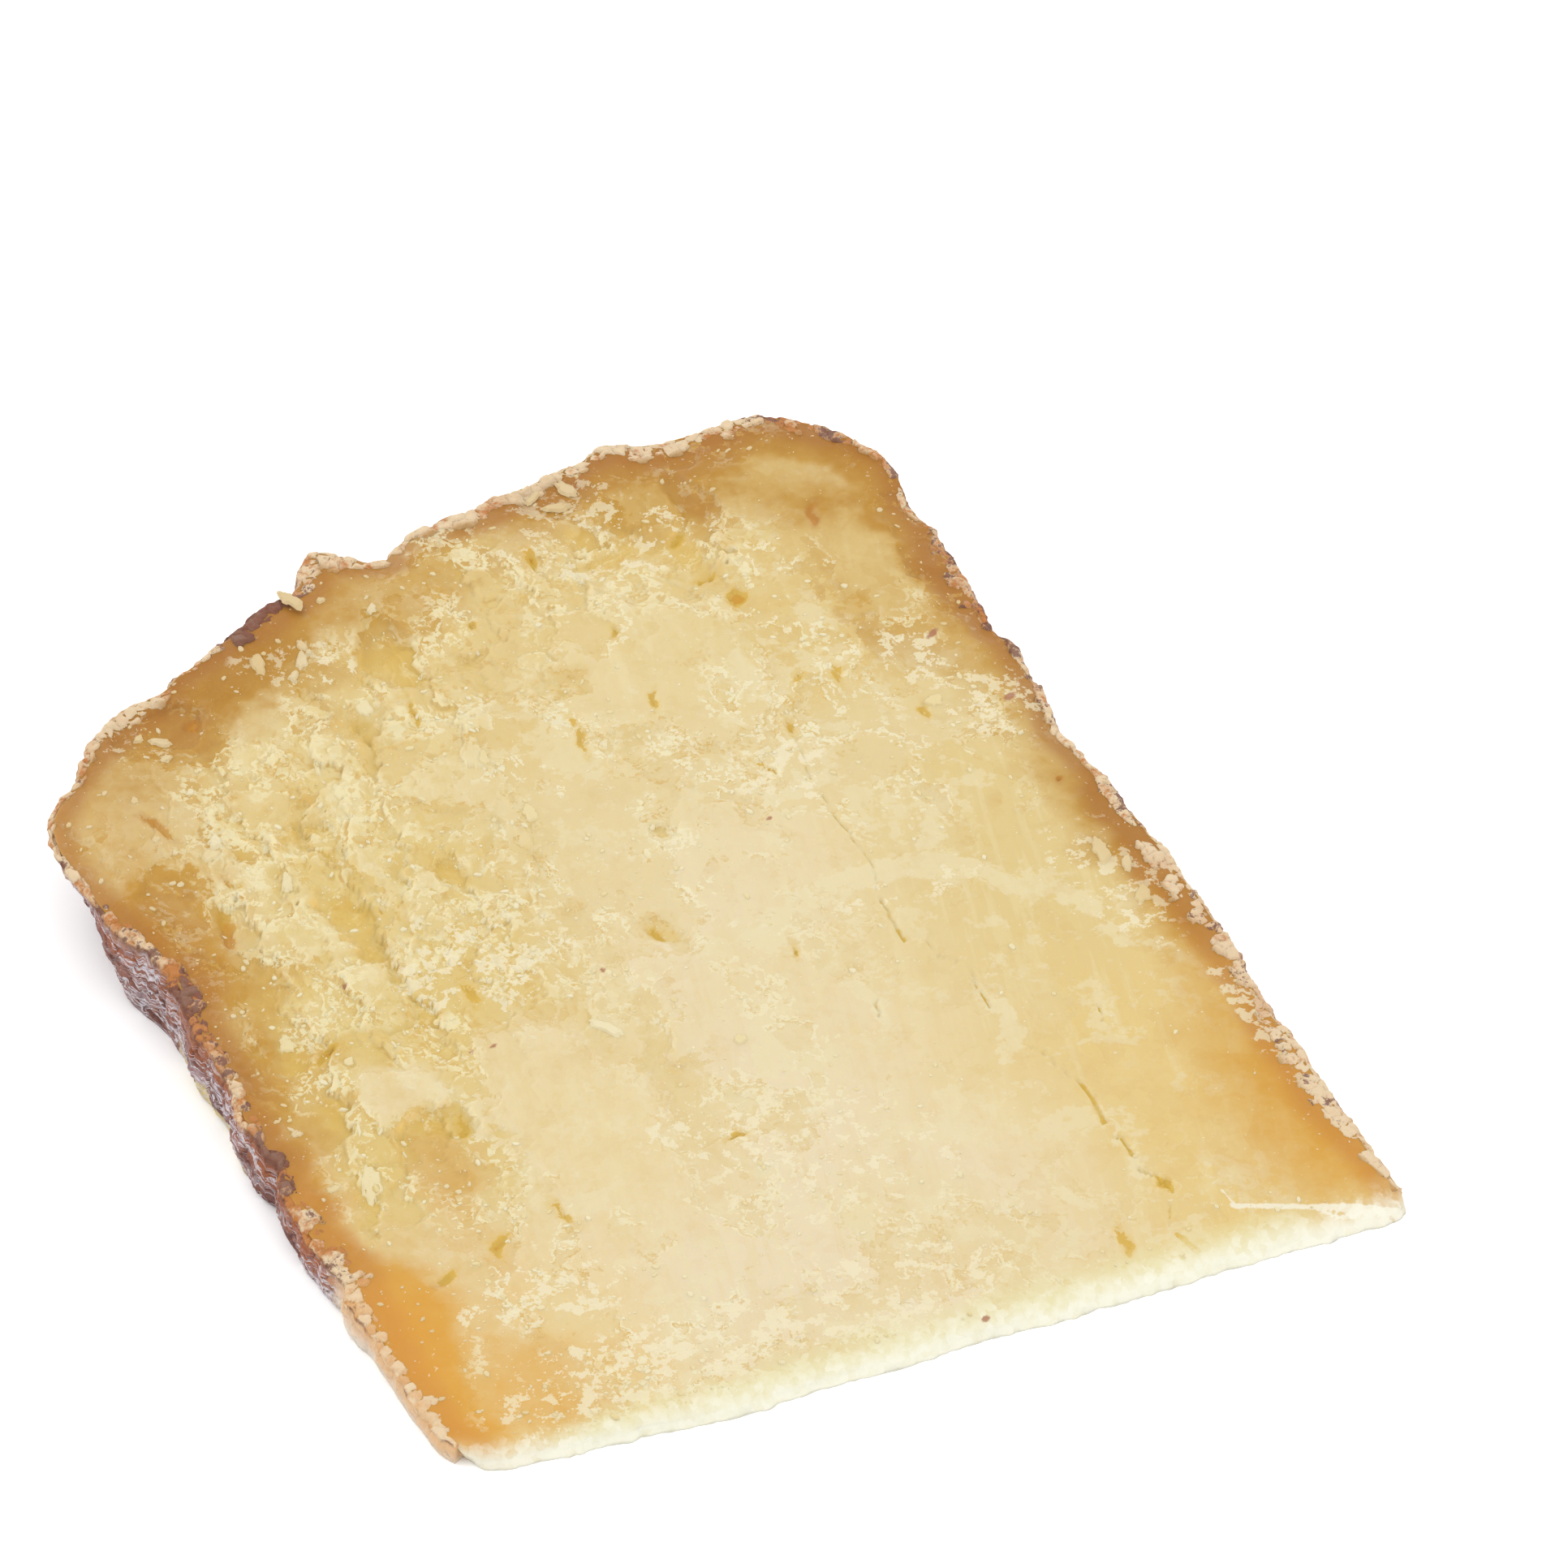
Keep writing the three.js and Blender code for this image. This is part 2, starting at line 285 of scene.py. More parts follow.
# %% [markdown]
# Just under the rind the paste has dried into a glassy band. It is brown at the heel and turns
# orange towards the tip. How far it reaches in, how strong it is and how warm its colour is are
# noted at named places on the rim, and every vertex of the face takes a mean of them, in which
# near places count most.

# %% The dry band under the rind
# Place on the rim, reach in mm, strength, and warmth from brown to orange
BAND_PLACES = [
    ("left tip", -40, 4, 6.5, 1.1, 1.0),
    ("left low", -40.2, 16, 6.8, 1.5, 1.0),
    ("left elbow", -39.6, 30, 3.6, 1.1, 0.6),
    ("left lower middle", -39.6, 42, 4.2, 1.15, 0.2),
    ("left middle", -39, 52, 5.0, 0.9, 0.1),
    ("left upper middle", -39.4, 64, 7.5, 1.3, 0.15),
    ("left corner", -40, 77, 13.0, 0.8, 0.2),
    ("shoulder", -32.5, 90, 9.0, 0.9, 0.0),
    ("heel slope", -20, 95.5, 9.4, 1.45, 0.0),
    ("heel bump", -8, 102, 9.0, 1.0, 0.1),
    ("heel left", 2, 105, 5.5, 0.43, 0.1),
    ("heel middle", 14, 107.5, 7.5, 1.2, 0.0),
    ("heel right", 27, 107.5, 8.0, 1.5, 0.05),
    ("right corner", 40, 103.5, 7.5, 1.3, 0.0),
    ("right top", 42.5, 94, 6.5, 1.15, 0.05),
    ("right upper", 42.8, 86, 6.0, 1.15, 0.05),
    ("right upper middle", 41.8, 76, 6.0, 1.1, 0.05),
    ("right middle", 41, 62, 5.5, 0.7, 0.0),
    ("right lower middle", 41.6, 50, 7.5, 1.1, 0.0),
    ("right lower", 42.2, 38, 5.5, 1.2, 0.2),
    ("right low", 41.6, 26, 6.5, 0.7, 0.5),
    ("right lowest", 41, 14, 9.0, 1.05, 0.7),
    ("right tip", 40.6, 4, 8.0, 0.9, 0.8),
]
# Broad tan patches farther in: middle, half width, half length, strength
TAN_SPOTS = [
    ("right corner", 33, 98, 9, 7, 0.75),
    ("upper right", 35, 84, 5.5, 12, 0.55),
    ("heel right", 22, 101, 8, 5, 0.5),
    ("upper left", -33, 77, 6, 9, 0.6),
    ("brown hollow", -26.5, 87.5, 4.5, 3.6, 0.9),
    ("left middle", -33, 48, 4, 9, 0.2),
    ("left low", -31, 21, 7, 8, 0.3),
    ("left tip", -34, 8, 7, 8, 0.5),
    ("left recess", -27.3, 32.5, 3.0, 5.0, 0.6),
    ("right", 34, 53, 6, 7, 0.3),
    ("right low", 34, 12, 7, 11, 0.22),
    ("left tip inner", -27, 6, 9, 5, 0.22),
]


def broad_spots(x, y, table):
    """The sum of broad, flat topped spots given by middle, half width, half length and amount."""
    total = np.zeros(np.shape(x))
    for _, middle_x, middle_y, across, along, amount in table:
        away = np.hypot((x - middle_x) / across, (y - middle_y) / along)
        total = total + amount * np.exp(-(away**4))
    return total


def place_means(x, y, places, spread_out):
    """The values noted at named places, as means in which near places count most."""
    weights = 0
    means = 0
    for _, place_x, place_y, *values in places:
        weight = ((x - place_x) ** 2 + (y - place_y) ** 2 + spread_out) ** -2.0
        weights = weights + weight
        means = means + weight * np.array(values)[:, None]
    return means / weights


def dry_band(x, y, rind_distance):
    """How far each place belongs to the band, and how warm the band is there."""
    reach, strength, warmth = place_means(x, y, BAND_PLACES, 20)
    uneven = 1 + 0.6 * (layered_noise(x / 7, y / 7, 150, 3, 0.7) - 0.5)
    ragged = (1 - warmth) * 2.8 * (layered_noise(x / 1.8, y / 1.8, 155, 3, 0.6) - 0.5)
    inwards = (rind_distance * uneven + ragged) / reach
    share = strength * rise(1.6 + 0.3 * warmth, 0.4 - 0.4 * warmth, inwards)
    return np.maximum(share, broad_spots(*frayed(x, y, 2.0), TAN_SPOTS)), warmth


print("places along the rim:", len(BAND_PLACES), "and farther in:", len(TAN_SPOTS))

# %% [markdown]
# Now the cut face. Hard cheese doesn't cut cleanly: it tears along sheets, so the face is made of
# flat terraces with frayed edges. Each sheet is one noise field cut off at a level: where the
# field is above the level, the sheet is gone and the face steps down a little. Broad forms raise
# or lower the fields where the real face is torn or whole. Where the cheese is crumbly, it also
# breaks into scales that overlap like shingles, high at their left edge.

# %% Sheets, scales and broad forms of the cut face
# Noise fields: size across, size along, layer
FIELDS = {
    "sheet": (11.0, 14.0, 3),
    "plate": (8.0, 11.0, 45),
    "crag": (5.5, 9.0, 11),
    "flaky": (3.4, 6.0, 31),
}
# Edges of the sheets: field, level, step down in mm, and where such edges are found
EDGES = [
    ("sheet", 0.53, 0.22, "torn"),
    ("plate", 0.56, 0.20, "torn"),
    ("crag", 0.56, 0.34, "crumb"),
    ("flaky", 0.60, 0.10, "torn"),
]
# Scales that the crumbly part breaks into: size across, size along, layer, step up at the left
SCALES = {
    "slab": (4.2, 7.0, 171, 0.34),
    "chip": (1.8, 3.2, 181, 0.13),
}
# Broad forms of the face: middle, half width, half length, and how far the sheets are
# whole there (below 0) or gone (above 0)
FORMS = [
    ("smooth left plateau", -15.5, 33, 7.0, 13.5, -0.28),
    ("smooth middle", -1, 71, 8, 6, -0.1),
    ("smooth heel part", 12, 82, 10, 7, -0.16),
    ("smooth centre", 15, 56, 9, 7, -0.12),
    ("smooth right", 24, 28, 15, 20, -0.17),
    ("beige plateau", 35.5, 88, 2.8, 7, -0.22),
    ("pale left chunk", -26.6, 41.6, 3.6, 3.6, -0.3),
    ("left recess", -27.3, 33, 3.0, 5.5, 0.2),
    ("brown hollow", -27.0, 88, 4.6, 4.0, 0.26),
    ("ochre side", -34.5, 66, 2.6, 9, 0.17),
    ("ochre lower side", -34.5, 46, 3.5, 7, 0.14),
    ("heel recess", 14.5, 104, 3.4, 2.6, 0.2),
    ("heel brown recess", 25.8, 98.5, 2.0, 3.4, 0.2),
    ("right recess", 31.8, 82, 1.8, 9, 0.14),
    ("centre recess", 24.5, 73, 2.4, 4, 0.15),
    ("small recess", 5.5, 81, 2.6, 2.0, 0.15),
    ("upper recess", 10.2, 96.6, 0.9, 2.6, 0.2),
    ("right band", 41.5, 86, 3.8, 13, 0.2),
    ("heel right band", 27.5, 107, 9, 5.4, 0.2),
    ("yellow groove", -20.0, 73, 1.6, 8, 0.07),
    ("second groove", -12.5, 80, 1.4, 7, 0.1),
    ("yellow gap", 0.4, 51, 1.6, 2.8, 0.25),
    ("small gap", 4.8, 61.6, 1.2, 0.9, 0.2),
]
# Where fine whitish crumbs cling to the face: middle, half width, half length, how many
CRUMB_SPOTS = [
    ("left low patch", -26, 15.5, 8, 3.0, 0.7),
    ("tip left", -22, 5, 13, 5, 0.75),
    ("tip middle", -2, 5, 12, 6, 0.5),
    ("low middle", 1, 20, 12, 9, 0.3),
    ("low middle left", -6, 28, 6, 4, 0.5),
    ("heel recess", 15, 104, 4, 3, 1.0),
    ("heel", 16, 97, 9, 5, 0.5),
    ("heel slope", -14, 92, 5, 4, 0.6),
    ("right crumbs", 33.2, 73.5, 2.6, 3.2, 1.0),
    ("right edge crumbs", 37, 66, 3.5, 5, 0.7),
    ("right lower crumbs", 36, 42, 4, 8, 0.6),
    ("right low edge", 39.5, 22, 1.6, 9, 0.9),
    ("centre crumbs", 17, 65, 4, 5, 0.8),
    ("milky arc", 20, 47.5, 9, 2.0, 0.3),
    ("middle left", -15, 53, 8, 7, 0.6),
    ("shoulder", -30, 88, 5, 5, 0.25),
    ("left side", -35, 66, 4, 14, 0.15),
]


def crumbliness(x, y):
    left_side = rise(4, -22, x) * rise(14, 40, y)
    heel_side = 0.8 * rise(70, 96, y) * rise(38, 18, x)
    return np.minimum(1, left_side + heel_side)


print("sheets:", len(EDGES), "broad forms:", len(FORMS), "crumby spots:", len(CRUMB_SPOTS))

# %% [markdown]
# Some places go deeper. Eyes are holes that gas left in the young cheese, and in a torn hollow a
# lump came out. At the right of the tip a corner broke off along a slanting facet.

# %% Hollows and the broken corner
# Eyes and torn hollows: centre, half width, half length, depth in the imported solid
HOLLOWS = [
    (23.4, 85.7, 1.3, 2.0, 2.2),
    (-24.2, 87.5, 3.6, 3.0, 2.2),
    (-31.0, 65.0, 1.6, 3.6, 3.0),
    (0.4, 51.0, 1.6, 1.8, 1.6),
    (-24.2, 36.0, 1.0, 2.0, 1.6),
    (-16.5, 66.0, 2.6, 13.0, 1.3),
    (-20.5, 74.0, 2.4, 8.0, 0.7),
    (-8.0, 92.0, 5.0, 3.4, 1.2),
]
# The face shows them much shallower, because torn sheets and pits lie over them
HOLLOW_SHARE = 0.12
# The facet: where it starts and ends, the line of its ridge, how deep it goes and how steeply
FACET = {"from_x": 24, "to_x": 41, "ridge_left_y": 6.0, "ridge_right_y": -1.5, "drop": 1.0, "run": 4.5}


def hollow_depth(x, y):
    depth = np.zeros(x.shape)
    for middle_x, middle_y, across, along, deep in HOLLOWS:
        away = np.hypot((x - middle_x) / across, (y - middle_y) / along)
        depth = np.maximum(depth, deep * np.exp(-away**3))
    return depth


def facet_depth(x, y):
    t = (x - FACET["from_x"]) / (FACET["to_x"] - FACET["from_x"])
    ridge = blend(FACET["ridge_left_y"], FACET["ridge_right_y"], np.sqrt(np.maximum(0, t)))
    return FACET["drop"] * rise(0, 0.5, t) * rise(0, FACET["run"], ridge - y)


deepest = HOLLOW_SHARE * max(spot[-1] for spot in HOLLOWS)
print("hollows:", len(HOLLOWS), "deepest, mm:", round(deepest, 2))

# %% [markdown]
# Thin features are kept as distances: how many millimetres each place is from the nearest crack,
# streak, pit or speck. The mesh presses cracks and pits in softly, and the material cuts the same
# distances off sharply, so that their edges are drawn much finer than the mesh.

# %% Cracks, streaks, pits and specks
# Cracks in the smooth part: points along each, and half the width of the groove
CRACKS = [
    ([(20.4, 70.2), (19.0, 62.5), (18.8, 55.2), (18.9, 51.1), (17.9, 48.0)], 0.01),
    ([(17.7, 47.2), (17.5, 44.8), (17.3, 42.0)], 0.10),
    ([(18.8, 41.2), (18.7, 39.4), (19.9, 38.1)], 0.03),
    ([(20.4, 37.4), (20.2, 34.5), (20.1, 32.2)], 0.05),
    ([(21.1, 26.8), (21.7, 25.2), (22.3, 23.2), (22.7, 21.3)], 0.01),
    ([(22.7, 21.2), (22.8, 19.6), (22.5, 17.4), (22.3, 16.6)], 0.20),
    ([(22.6, 14.6), (22.7, 13.4), (22.6, 12.2)], 0.12),
    ([(22.4, 10.6), (23.2, 9.6), (23.7, 8.4), (23.4, 7.4)], 0.16),
    ([(22.7, 6.4), (22.2, 5.2), (21.4, 3.9)], 0.07),
    ([(21.9, 2.8), (22.2, 1.6), (22.3, 0.4)], 0.28),
    ([(28.2, 29.4), (27.6, 27.4)], 0.06),
    ([(12.0, 36.4), (11.5, 34.6)], 0.06),
]
# Milky streaks: points along each, and half the width
STREAKS = [
    ([(7.0, 46.8), (10.5, 48.9), (14.0, 50.2), (18.4, 50.6), (22.5, 49.7), (26.0, 47.4)], 1.4),
    ([(26.0, 46.6), (28.6, 44.0), (31.8, 42.4), (32.6, 39.6)], 0.9),
    ([(32.5, 36.8), (34.8, 35.0), (36.8, 32.6), (38.4, 29.0), (40.0, 26.0)], 0.5),
    ([(22.5, 49.2), (24.6, 52.8), (26.2, 55.0)], 0.5),
    ([(33.0, 75.5), (33.0, 73.2), (35.5, 72.6)], 1.4),
    ([(14.4, 61.8), (17.4, 62.4), (20.8, 62.8)], 0.9),
    ([(20.2, 33.0), (21.0, 30.5), (20.0, 27.4), (18.8, 26.2)], 0.8),
    ([(11.0, 38.6), (11.8, 35.6), (11.4, 33.2)], 0.5),
    ([(22.4, 16.4), (22.0, 14.6)], 0.45),
    ([(22.8, 11.6), (22.5, 10.2)], 0.4),
    ([(4.2, 1.4), (8.0, 4.6), (11.4, 7.6)], 0.35),
    ([(15.6, 10.4), (16.2, 8.8)], 0.8),
]
# The white ridge above the broken corner at the right of the tip
RIDGE = [
    ([(25.3, 5.2), (27.2, 4.0)], 0.05),
    ([(27.2, 4.0), (28.8, 3.3), (33.0, 1.5), (35.0, 0.6)], 0.28),
    ([(35.0, 0.6), (36.5, -0.1), (39.8, -1.5)], 0.4),
    ([(27.2, 6.0), (27.4, 4.2)], 0.12),
    ([(33.0, 1.3), (34.6, -0.2), (37.5, -1.2)], 0.2),
]
# Small pits: centre, half length, half width, turn in degrees
PITS = [
    (23.4, 85.8, 1.15, 0.8, 60),
    (22.4, 89.7, 1.0, 0.45, 5),
    (12.0, 86.0, 0.8, 0.35, 60),
    (33.7, 93.2, 1.3, 0.38, 65),
    (9.9, 97.0, 1.2, 0.45, 95),
    (22.3, 95.4, 0.8, 0.4, 20),
    (1.8, 91.4, 0.6, 0.5, 80),
    (11.2, 76.6, 1.4, 0.35, 52),
    (4.0, 75.0, 1.8, 0.3, 80),
    (23.6, 75.0, 0.6, 0.3, 30),
    (27.0, 74.0, 1.0, 0.3, 80),
    (20.6, 69.3, 0.9, 0.3, 70),
    (16.3, 65.4, 1.1, 0.28, 100),
    (31.7, 67.0, 0.9, 0.35, 75),
    (-0.3, 50.6, 0.9, 0.4, 75),
    (37.5, 54.6, 0.4, 0.3, 20),
    (-32.2, 77.4, 2.0, 0.45, 110),
    (-29.6, 69.3, 0.8, 0.3, 115),
    (-31.6, 65.0, 2.5, 0.55, 78),
    (-32.0, 63.6, 1.1, 0.6, 85),
    (-24.2, 89.2, 0.9, 0.65, 150),
    (-19.9, 62.2, 0.5, 0.25, 120),
    (-7.4, 83.0, 1.6, 0.3, 85),
    (-17.2, 50.0, 1.4, 0.4, 95),
    (-30.4, 48.2, 1.4, 0.6, 25),
    (-24.2, 36.4, 1.3, 0.32, 75),
    (-27.2, 22.7, 1.1, 0.45, 65),
    (-32.4, 20.6, 1.1, 0.45, 5),
    (-21.4, 23.6, 1.3, 0.25, 95),
    (-4.6, 26.4, 0.9, 0.3, 15),
    (8.5, 44.2, 0.5, 0.25, 70),
    (17.4, 3.4, 2.0, 0.32, 68),
    (23.7, 8.4, 0.8, 0.55, 40),
]
# Reddish brown specks: centre, half length, half width, turn in degrees
SPECKS = [
    (4.1, 0.2, 0.5, 0.38, 30),
    (-20.0, 43.5, 0.35, 0.3, 60),
    (-18.2, 43.2, 0.45, 0.3, 10),
    (-6.2, 48.5, 0.35, 0.28, 60),
    (-26.0, 54.6, 0.35, 0.28, 80),
    (13.8, 59.6, 0.35, 0.28, 0),
    (36.2, 75.6, 0.9, 0.35, 30),
    (38.6, 66.0, 0.7, 0.4, 20),
]


def distance_to_lines(x, y, lines, wandering):
    """How far each place is outside the nearest of some wandering lines of given half widths."""
    nearest = np.full(x.shape, 9.0)
    wander = 2 * wandering * (layered_noise(x / 1.5, y / 1.5, 90, 2) - 0.5)
    for points, half_width in lines:
        for (ax, ay), (bx, by) in zip(points, points[1:]):
            run = np.array([bx - ax, by - ay])
            t = np.clip(((x - ax) * run[0] + (y - ay) * run[1]) / (run @ run), 0, 1)
            away = np.hypot(x - ax - t * run[0] + wander, y - ay - t * run[1])
            nearest = np.minimum(nearest, away - half_width)
    return nearest


def distance_to_pits(x, y, table):
    nearest = np.full(x.shape, 9.0)
    for middle_x, middle_y, half_length, half_width, turn in table:
        angle = math.radians(turn)
        along = (x - middle_x) * math.cos(angle) + (y - middle_y) * math.sin(angle)
        across = (y - middle_y) * math.cos(angle) - (x - middle_x) * math.sin(angle)
        away = np.hypot(along / half_length, across / half_width) - 1
        nearest = np.minimum(nearest, away * half_width)
    return nearest


print("cracks:", len(CRACKS), "streaks:", len(STREAKS), "pits:", len(PITS), "specks:", len(SPECKS))

# %% [markdown]
# One function brings this together. For any place on the face it gives the drop below the even
# slope, and the marks, which are the numbers that the colours follow. The relief is weaker at
# the thin tip. Both pieces that meet at the rim call the function, and so do the flakes that lie
# on the face, so they all fit one another. The sheets are still fields here. They become
# distances later, once the mesh is known.

# %% Relief of the cut face
EDGE_FRAY = 1.1
SCALE_FRAY = 1.9
STEP_RUN = 0.3
CRAG_DROP = 0.425
SHEET_DROP = 0.2
PIT_DROP = 0.3
CRACK_DROP = 0.3
RIM_DROP = 0.4
RIM_WIDTH = 2.2
LUMP_HEIGHT = 0.05
CRUMB_LUMP_HEIGHT = 0.10
TIP_SHARE = 0.35


def slope(y):
    return TIP_THICKNESS + TAPER * np.maximum(0, y)


def tearing_at(x, y):
    """How strongly the sheets tear: least at the right front, most at the left and at the heel."""
    return 0.35 + 0.15 * rise(20, 5, x) + 0.5 * np.clip(rise(-6, -22, x) + rise(48, 64, y), 0, 1)


def face_marks(x, y, rind_distance):
    """The numbers that the relief and the colours follow."""
    fray_x, fray_y = frayed(x, y, EDGE_FRAY)
    forms = broad_spots(fray_x, fray_y, FORMS)
    whole = np.clip(-4 * forms, 0, 1)
    opened = np.clip(6 * forms, 0, 1)
    band, warmth = dry_band(x, y, rind_distance)
    moist = 1 - 0.85 * np.minimum(band, 1)
    loose = moist * (1 - 0.8 * whole)
    torn = tearing_at(x, y) * moist * (1 - 0.6 * whole)
    marks = {
        "band": band,
        "warmth": warmth,
        "crumb": crumbliness(x, y) * loose * rise(0.5, 2, rind_distance),
        "torn": np.maximum(torn, opened * (1 - whole)),
        "whole": whole,
        "facet": facet_depth(x, y) / FACET["drop"],
        "crumbs": broad_spots(fray_x, fray_y, CRUMB_SPOTS),
        "crack_way": distance_to_lines(x, y, CRACKS, 0.35),
        "streak_way": distance_to_lines(fray_x, fray_y, STREAKS, 0.5),
        "ridge_way": distance_to_lines(x, y, RIDGE, 0.3),
        "pit_way": distance_to_pits(*frayed(x, y, 0.8), PITS),
        "speck_way": distance_to_pits(*frayed(x, y, 0.3), SPECKS),
    }
    for name, (across, along, layer) in FIELDS.items():
        marks[name] = layered_noise(fray_x / across, fray_y / along, layer, 3, 0.4) + forms
    return marks


def face_relief(x, y, rind_distance):
    """The face's drop below its even slope, and its marks."""
    marks = face_marks(x, y, rind_distance)
    crumb = marks["crumb"]
    drop = CRAG_DROP * crumb * rise(0.42, 0.80, marks["crag"])
    drop = drop + SHEET_DROP * tearing_at(x, y) * rise(0.56, 0.68, marks["sheet"])
    for name, level, step, where in EDGES:
        run = 0.5 * STEP_RUN / FIELDS[name][0]
        drop = drop + marks[where] * step * rise(level - run, level + run, marks[name])
    drop = drop + HOLLOW_SHARE * hollow_depth(*frayed(x, y, 0.35)) + facet_depth(x, y)
    drop = drop + PIT_DROP * rise(0.15, -0.3, marks["pit_way"])
    drop = drop + CRACK_DROP * rise(0.2, -0.1, marks["crack_way"])
    drop = drop + RIM_DROP * np.exp(-((rind_distance / RIM_WIDTH) ** 2))
    scale_x, scale_y = frayed(x, y, SCALE_FRAY)
    for name, (across, along, layer, step) in SCALES.items():
        nearest, second, tone, lean = chunks(scale_x / across, scale_y / along, layer)
        marks.update({name + "_edge": second - nearest, name + "_lean": lean})
        drop = drop + step * crumb * (lean + 0.5 * tone)
    lumps = layered_noise(x / 1.7, y / 2.6, 71, 3) - 0.5
    drop = drop + (LUMP_HEIGHT + CRUMB_LUMP_HEIGHT * crumb) * lumps
    return drop * blend(TIP_SHARE, 1, rise(-3, 14, y)), marks


print("thickness before the relief, mm, at 0, 50 and 100:", slope(np.array([0, 50, 100])).round(2))

# %% [markdown]
# The grid follows all four sides: each inside point blends the side points that face it. This
# keeps the grid lines parallel to the rind near the rind, so the rim comes out clean.

# %% Stretch a grid inside the outline
def inside_points(around, u, v):
    """The grid's points for columns u and rows v, from 0 to 1, between four sampled sides."""
    tip, right, heel, left = around
    column = np.rint(u * (len(tip) - 1)).astype(int)
    row = np.rint(v * (len(right) - 1)).astype(int)
    last_column = len(tip) - 1
    last_row = len(right) - 1
    u = u[:, None]
    v = v[:, None]
    across = (1 - v) * tip[column] + v * heel[last_column - column]
    along = (1 - u) * left[last_row - row] + u * right[row]
    corners = (1 - u) * (1 - v) * tip[0] + u * (1 - v) * tip[-1]
    corners = corners + u * v * heel[0] + (1 - u) * v * heel[-1]
    return across + along - corners


def inset_sides(around, inset):
    """The four sides pulled in under the rind; the thin front edge stays where it is."""
    ring = np.concatenate([side[:-1] for side in around])
    pull = inset * rise(1, 5, ring[:, 1])
    ring = ring - outward_normals(ring) * pull[:, None]
    pieces = []
    start = 0
    for side in around:
        count = len(side) - 1
        pieces.append(ring[np.arange(start, start + count + 1) % len(ring)])
        start += count
    return pieces


rind_line = np.concatenate([side[:-1] for side in sides[1:]])
rind_tree = KDTree(len(rind_line))
for index, (x, y) in enumerate(rind_line):
    rind_tree.insert((x, y, 0), index)
rind_tree.balance()


def nearest_rind(points):
    """The distance to the nearest point of the rind sides, and which point that is."""
    found = [rind_tree.find((x, y, 0)) for x, y in points]
    return np.array([entry[2] for entry in found]), np.array([entry[1] for entry in found])


def to_frame(x, y, z):
    """Millimetres from the middle of the thin edge, as a point in the frame's metres."""
    return Vector(((x - SLICE_MIDDLE[0]) * MM, (y - SLICE_MIDDLE[1]) * MM, z * MM))


print("points along the rind:", len(rind_line))

# %% [markdown]
# The rind shows on the cut face as a crust. Its width differs along the rim, and so do its
# colours, so they are noted at named places too. Both pieces use these numbers: the rind is as
# wide as they say, and the paste is darkest just inside the crust.

# %% The crust along the rim
# Place on the rim, width in mm, share of cream, share of dark skin
CRUST_PLACES = [
    ("left tip", -39.6, 2, 1.0, 1.0, 0.0),
    ("left low", -40, 12, 1.3, 0.9, 0.1),
    ("peach to orange", -39.8, 20, 1.7, 0.55, 0.05),
    ("orange crumbs", -39.3, 26, 2.4, 0.15, 0.35),
    ("deep orange", -38.8, 31, 2.4, 0.0, 0.3),
    ("brown tongue", -39.3, 37.5, 1.3, 0.0, 1.4),
    ("left lower middle", -39.6, 46, 1.1, 0.35, 0.5),
    ("purple patch", -39, 57, 1.8, 0.0, 1.1),
    ("left upper middle", -39.4, 66, 1.2, 0.3, 0.8),
    ("left corner", -40.3, 78, 0.9, 0.55, 0.15),
    ("left shoulder", -36, 87, 0.8, 0.35, 0.1),
    ("shoulder", -30, 92, 1.8, 0.9, 0.15),
    ("heel slope", -22, 95.5, 0.9, 0.4, 0.35),
    ("brown hole", -14, 99, 1.9, 0.0, 1.9),
    ("heel bump", -7, 104, 2.6, 0.55, 0.25),
    ("heel left", 0, 103.5, 1.0, 0.45, 0.1),
    ("heel crumbs", 7, 106, 2.0, 0.4, 0.05),
    ("heel middle", 15, 108, 1.5, 0.9, 0.15),
    ("heel cream", 24, 108, 2.2, 0.85, 0.15),
    ("heel right", 32, 108, 2.4, 0.7, 0.25),
    ("right corner", 39, 105, 2.2, 0.1, 0.8),
    ("right top", 42.5, 97, 1.0, 0.1, 0.5),
    ("right upper", 42.6, 90, 1.0, 0.2, 0.5),
    ("right holes", 42.5, 82.5, 1.9, 0.4, 0.9),
    ("right dark line", 41.8, 74, 0.8, 0.0, 0.9),
    ("right upper middle", 41.2, 66, 0.9, 0.5, 0.5),
    ("right middle", 40.8, 58, 0.9, 0.75, 0.2),
    ("right purple", 41.8, 50, 1.9, 0.5, 0.8),
    ("right lower middle", 42.4, 43, 2.6, 0.9, 0.2),
    ("right lower", 42.2, 34, 2.3, 0.8, 0.4),
    ("right low", 41.6, 27, 1.5, 0.8, 0.3),
    ("right low lumps", 41.6, 21, 2.2, 0.9, 0.35),
    ("right lowest", 41, 12, 2.0, 0.95, 0.35),
    ("right tip", 40.5, 2, 1.0, 1.0, 0.1),
]
NARROWEST_CRUST = 0.75


def crust_at(x, y):
    """Width, cream share and dark share of the crust at places on the rim."""
    width, cream, dark = place_means(x, y, CRUST_PLACES, 6)
    width = width * blend(0.6, 1.4, layered_noise(x / 4, y / 4, 100, 2))
    return np.maximum(NARROWEST_CRUST, width), cream, dark


crust_widths = crust_at(*rind_line.T)[0]
print("crust from", crust_widths.min().round(2), "to", crust_widths.max().round(2), "mm wide")

# %% [markdown]
# The pieces are made in the same few ways, so these ways get names. A bmesh grid starts as a flat
# square, and where a vertex lies in it says which part of the shape it becomes. Numbers are
# stored on the vertices, where a material can read them. The quads of a piece are smooth and its
# flat caps are not.

# %% Helpers for the pieces
def grid_shares(bm):
    """Where each vertex of a fresh grid lies, from 0 to 1 across and along."""
    return (np.array([vertex.co[:2] for vertex in bm.verts]) / 2 + 0.5).T


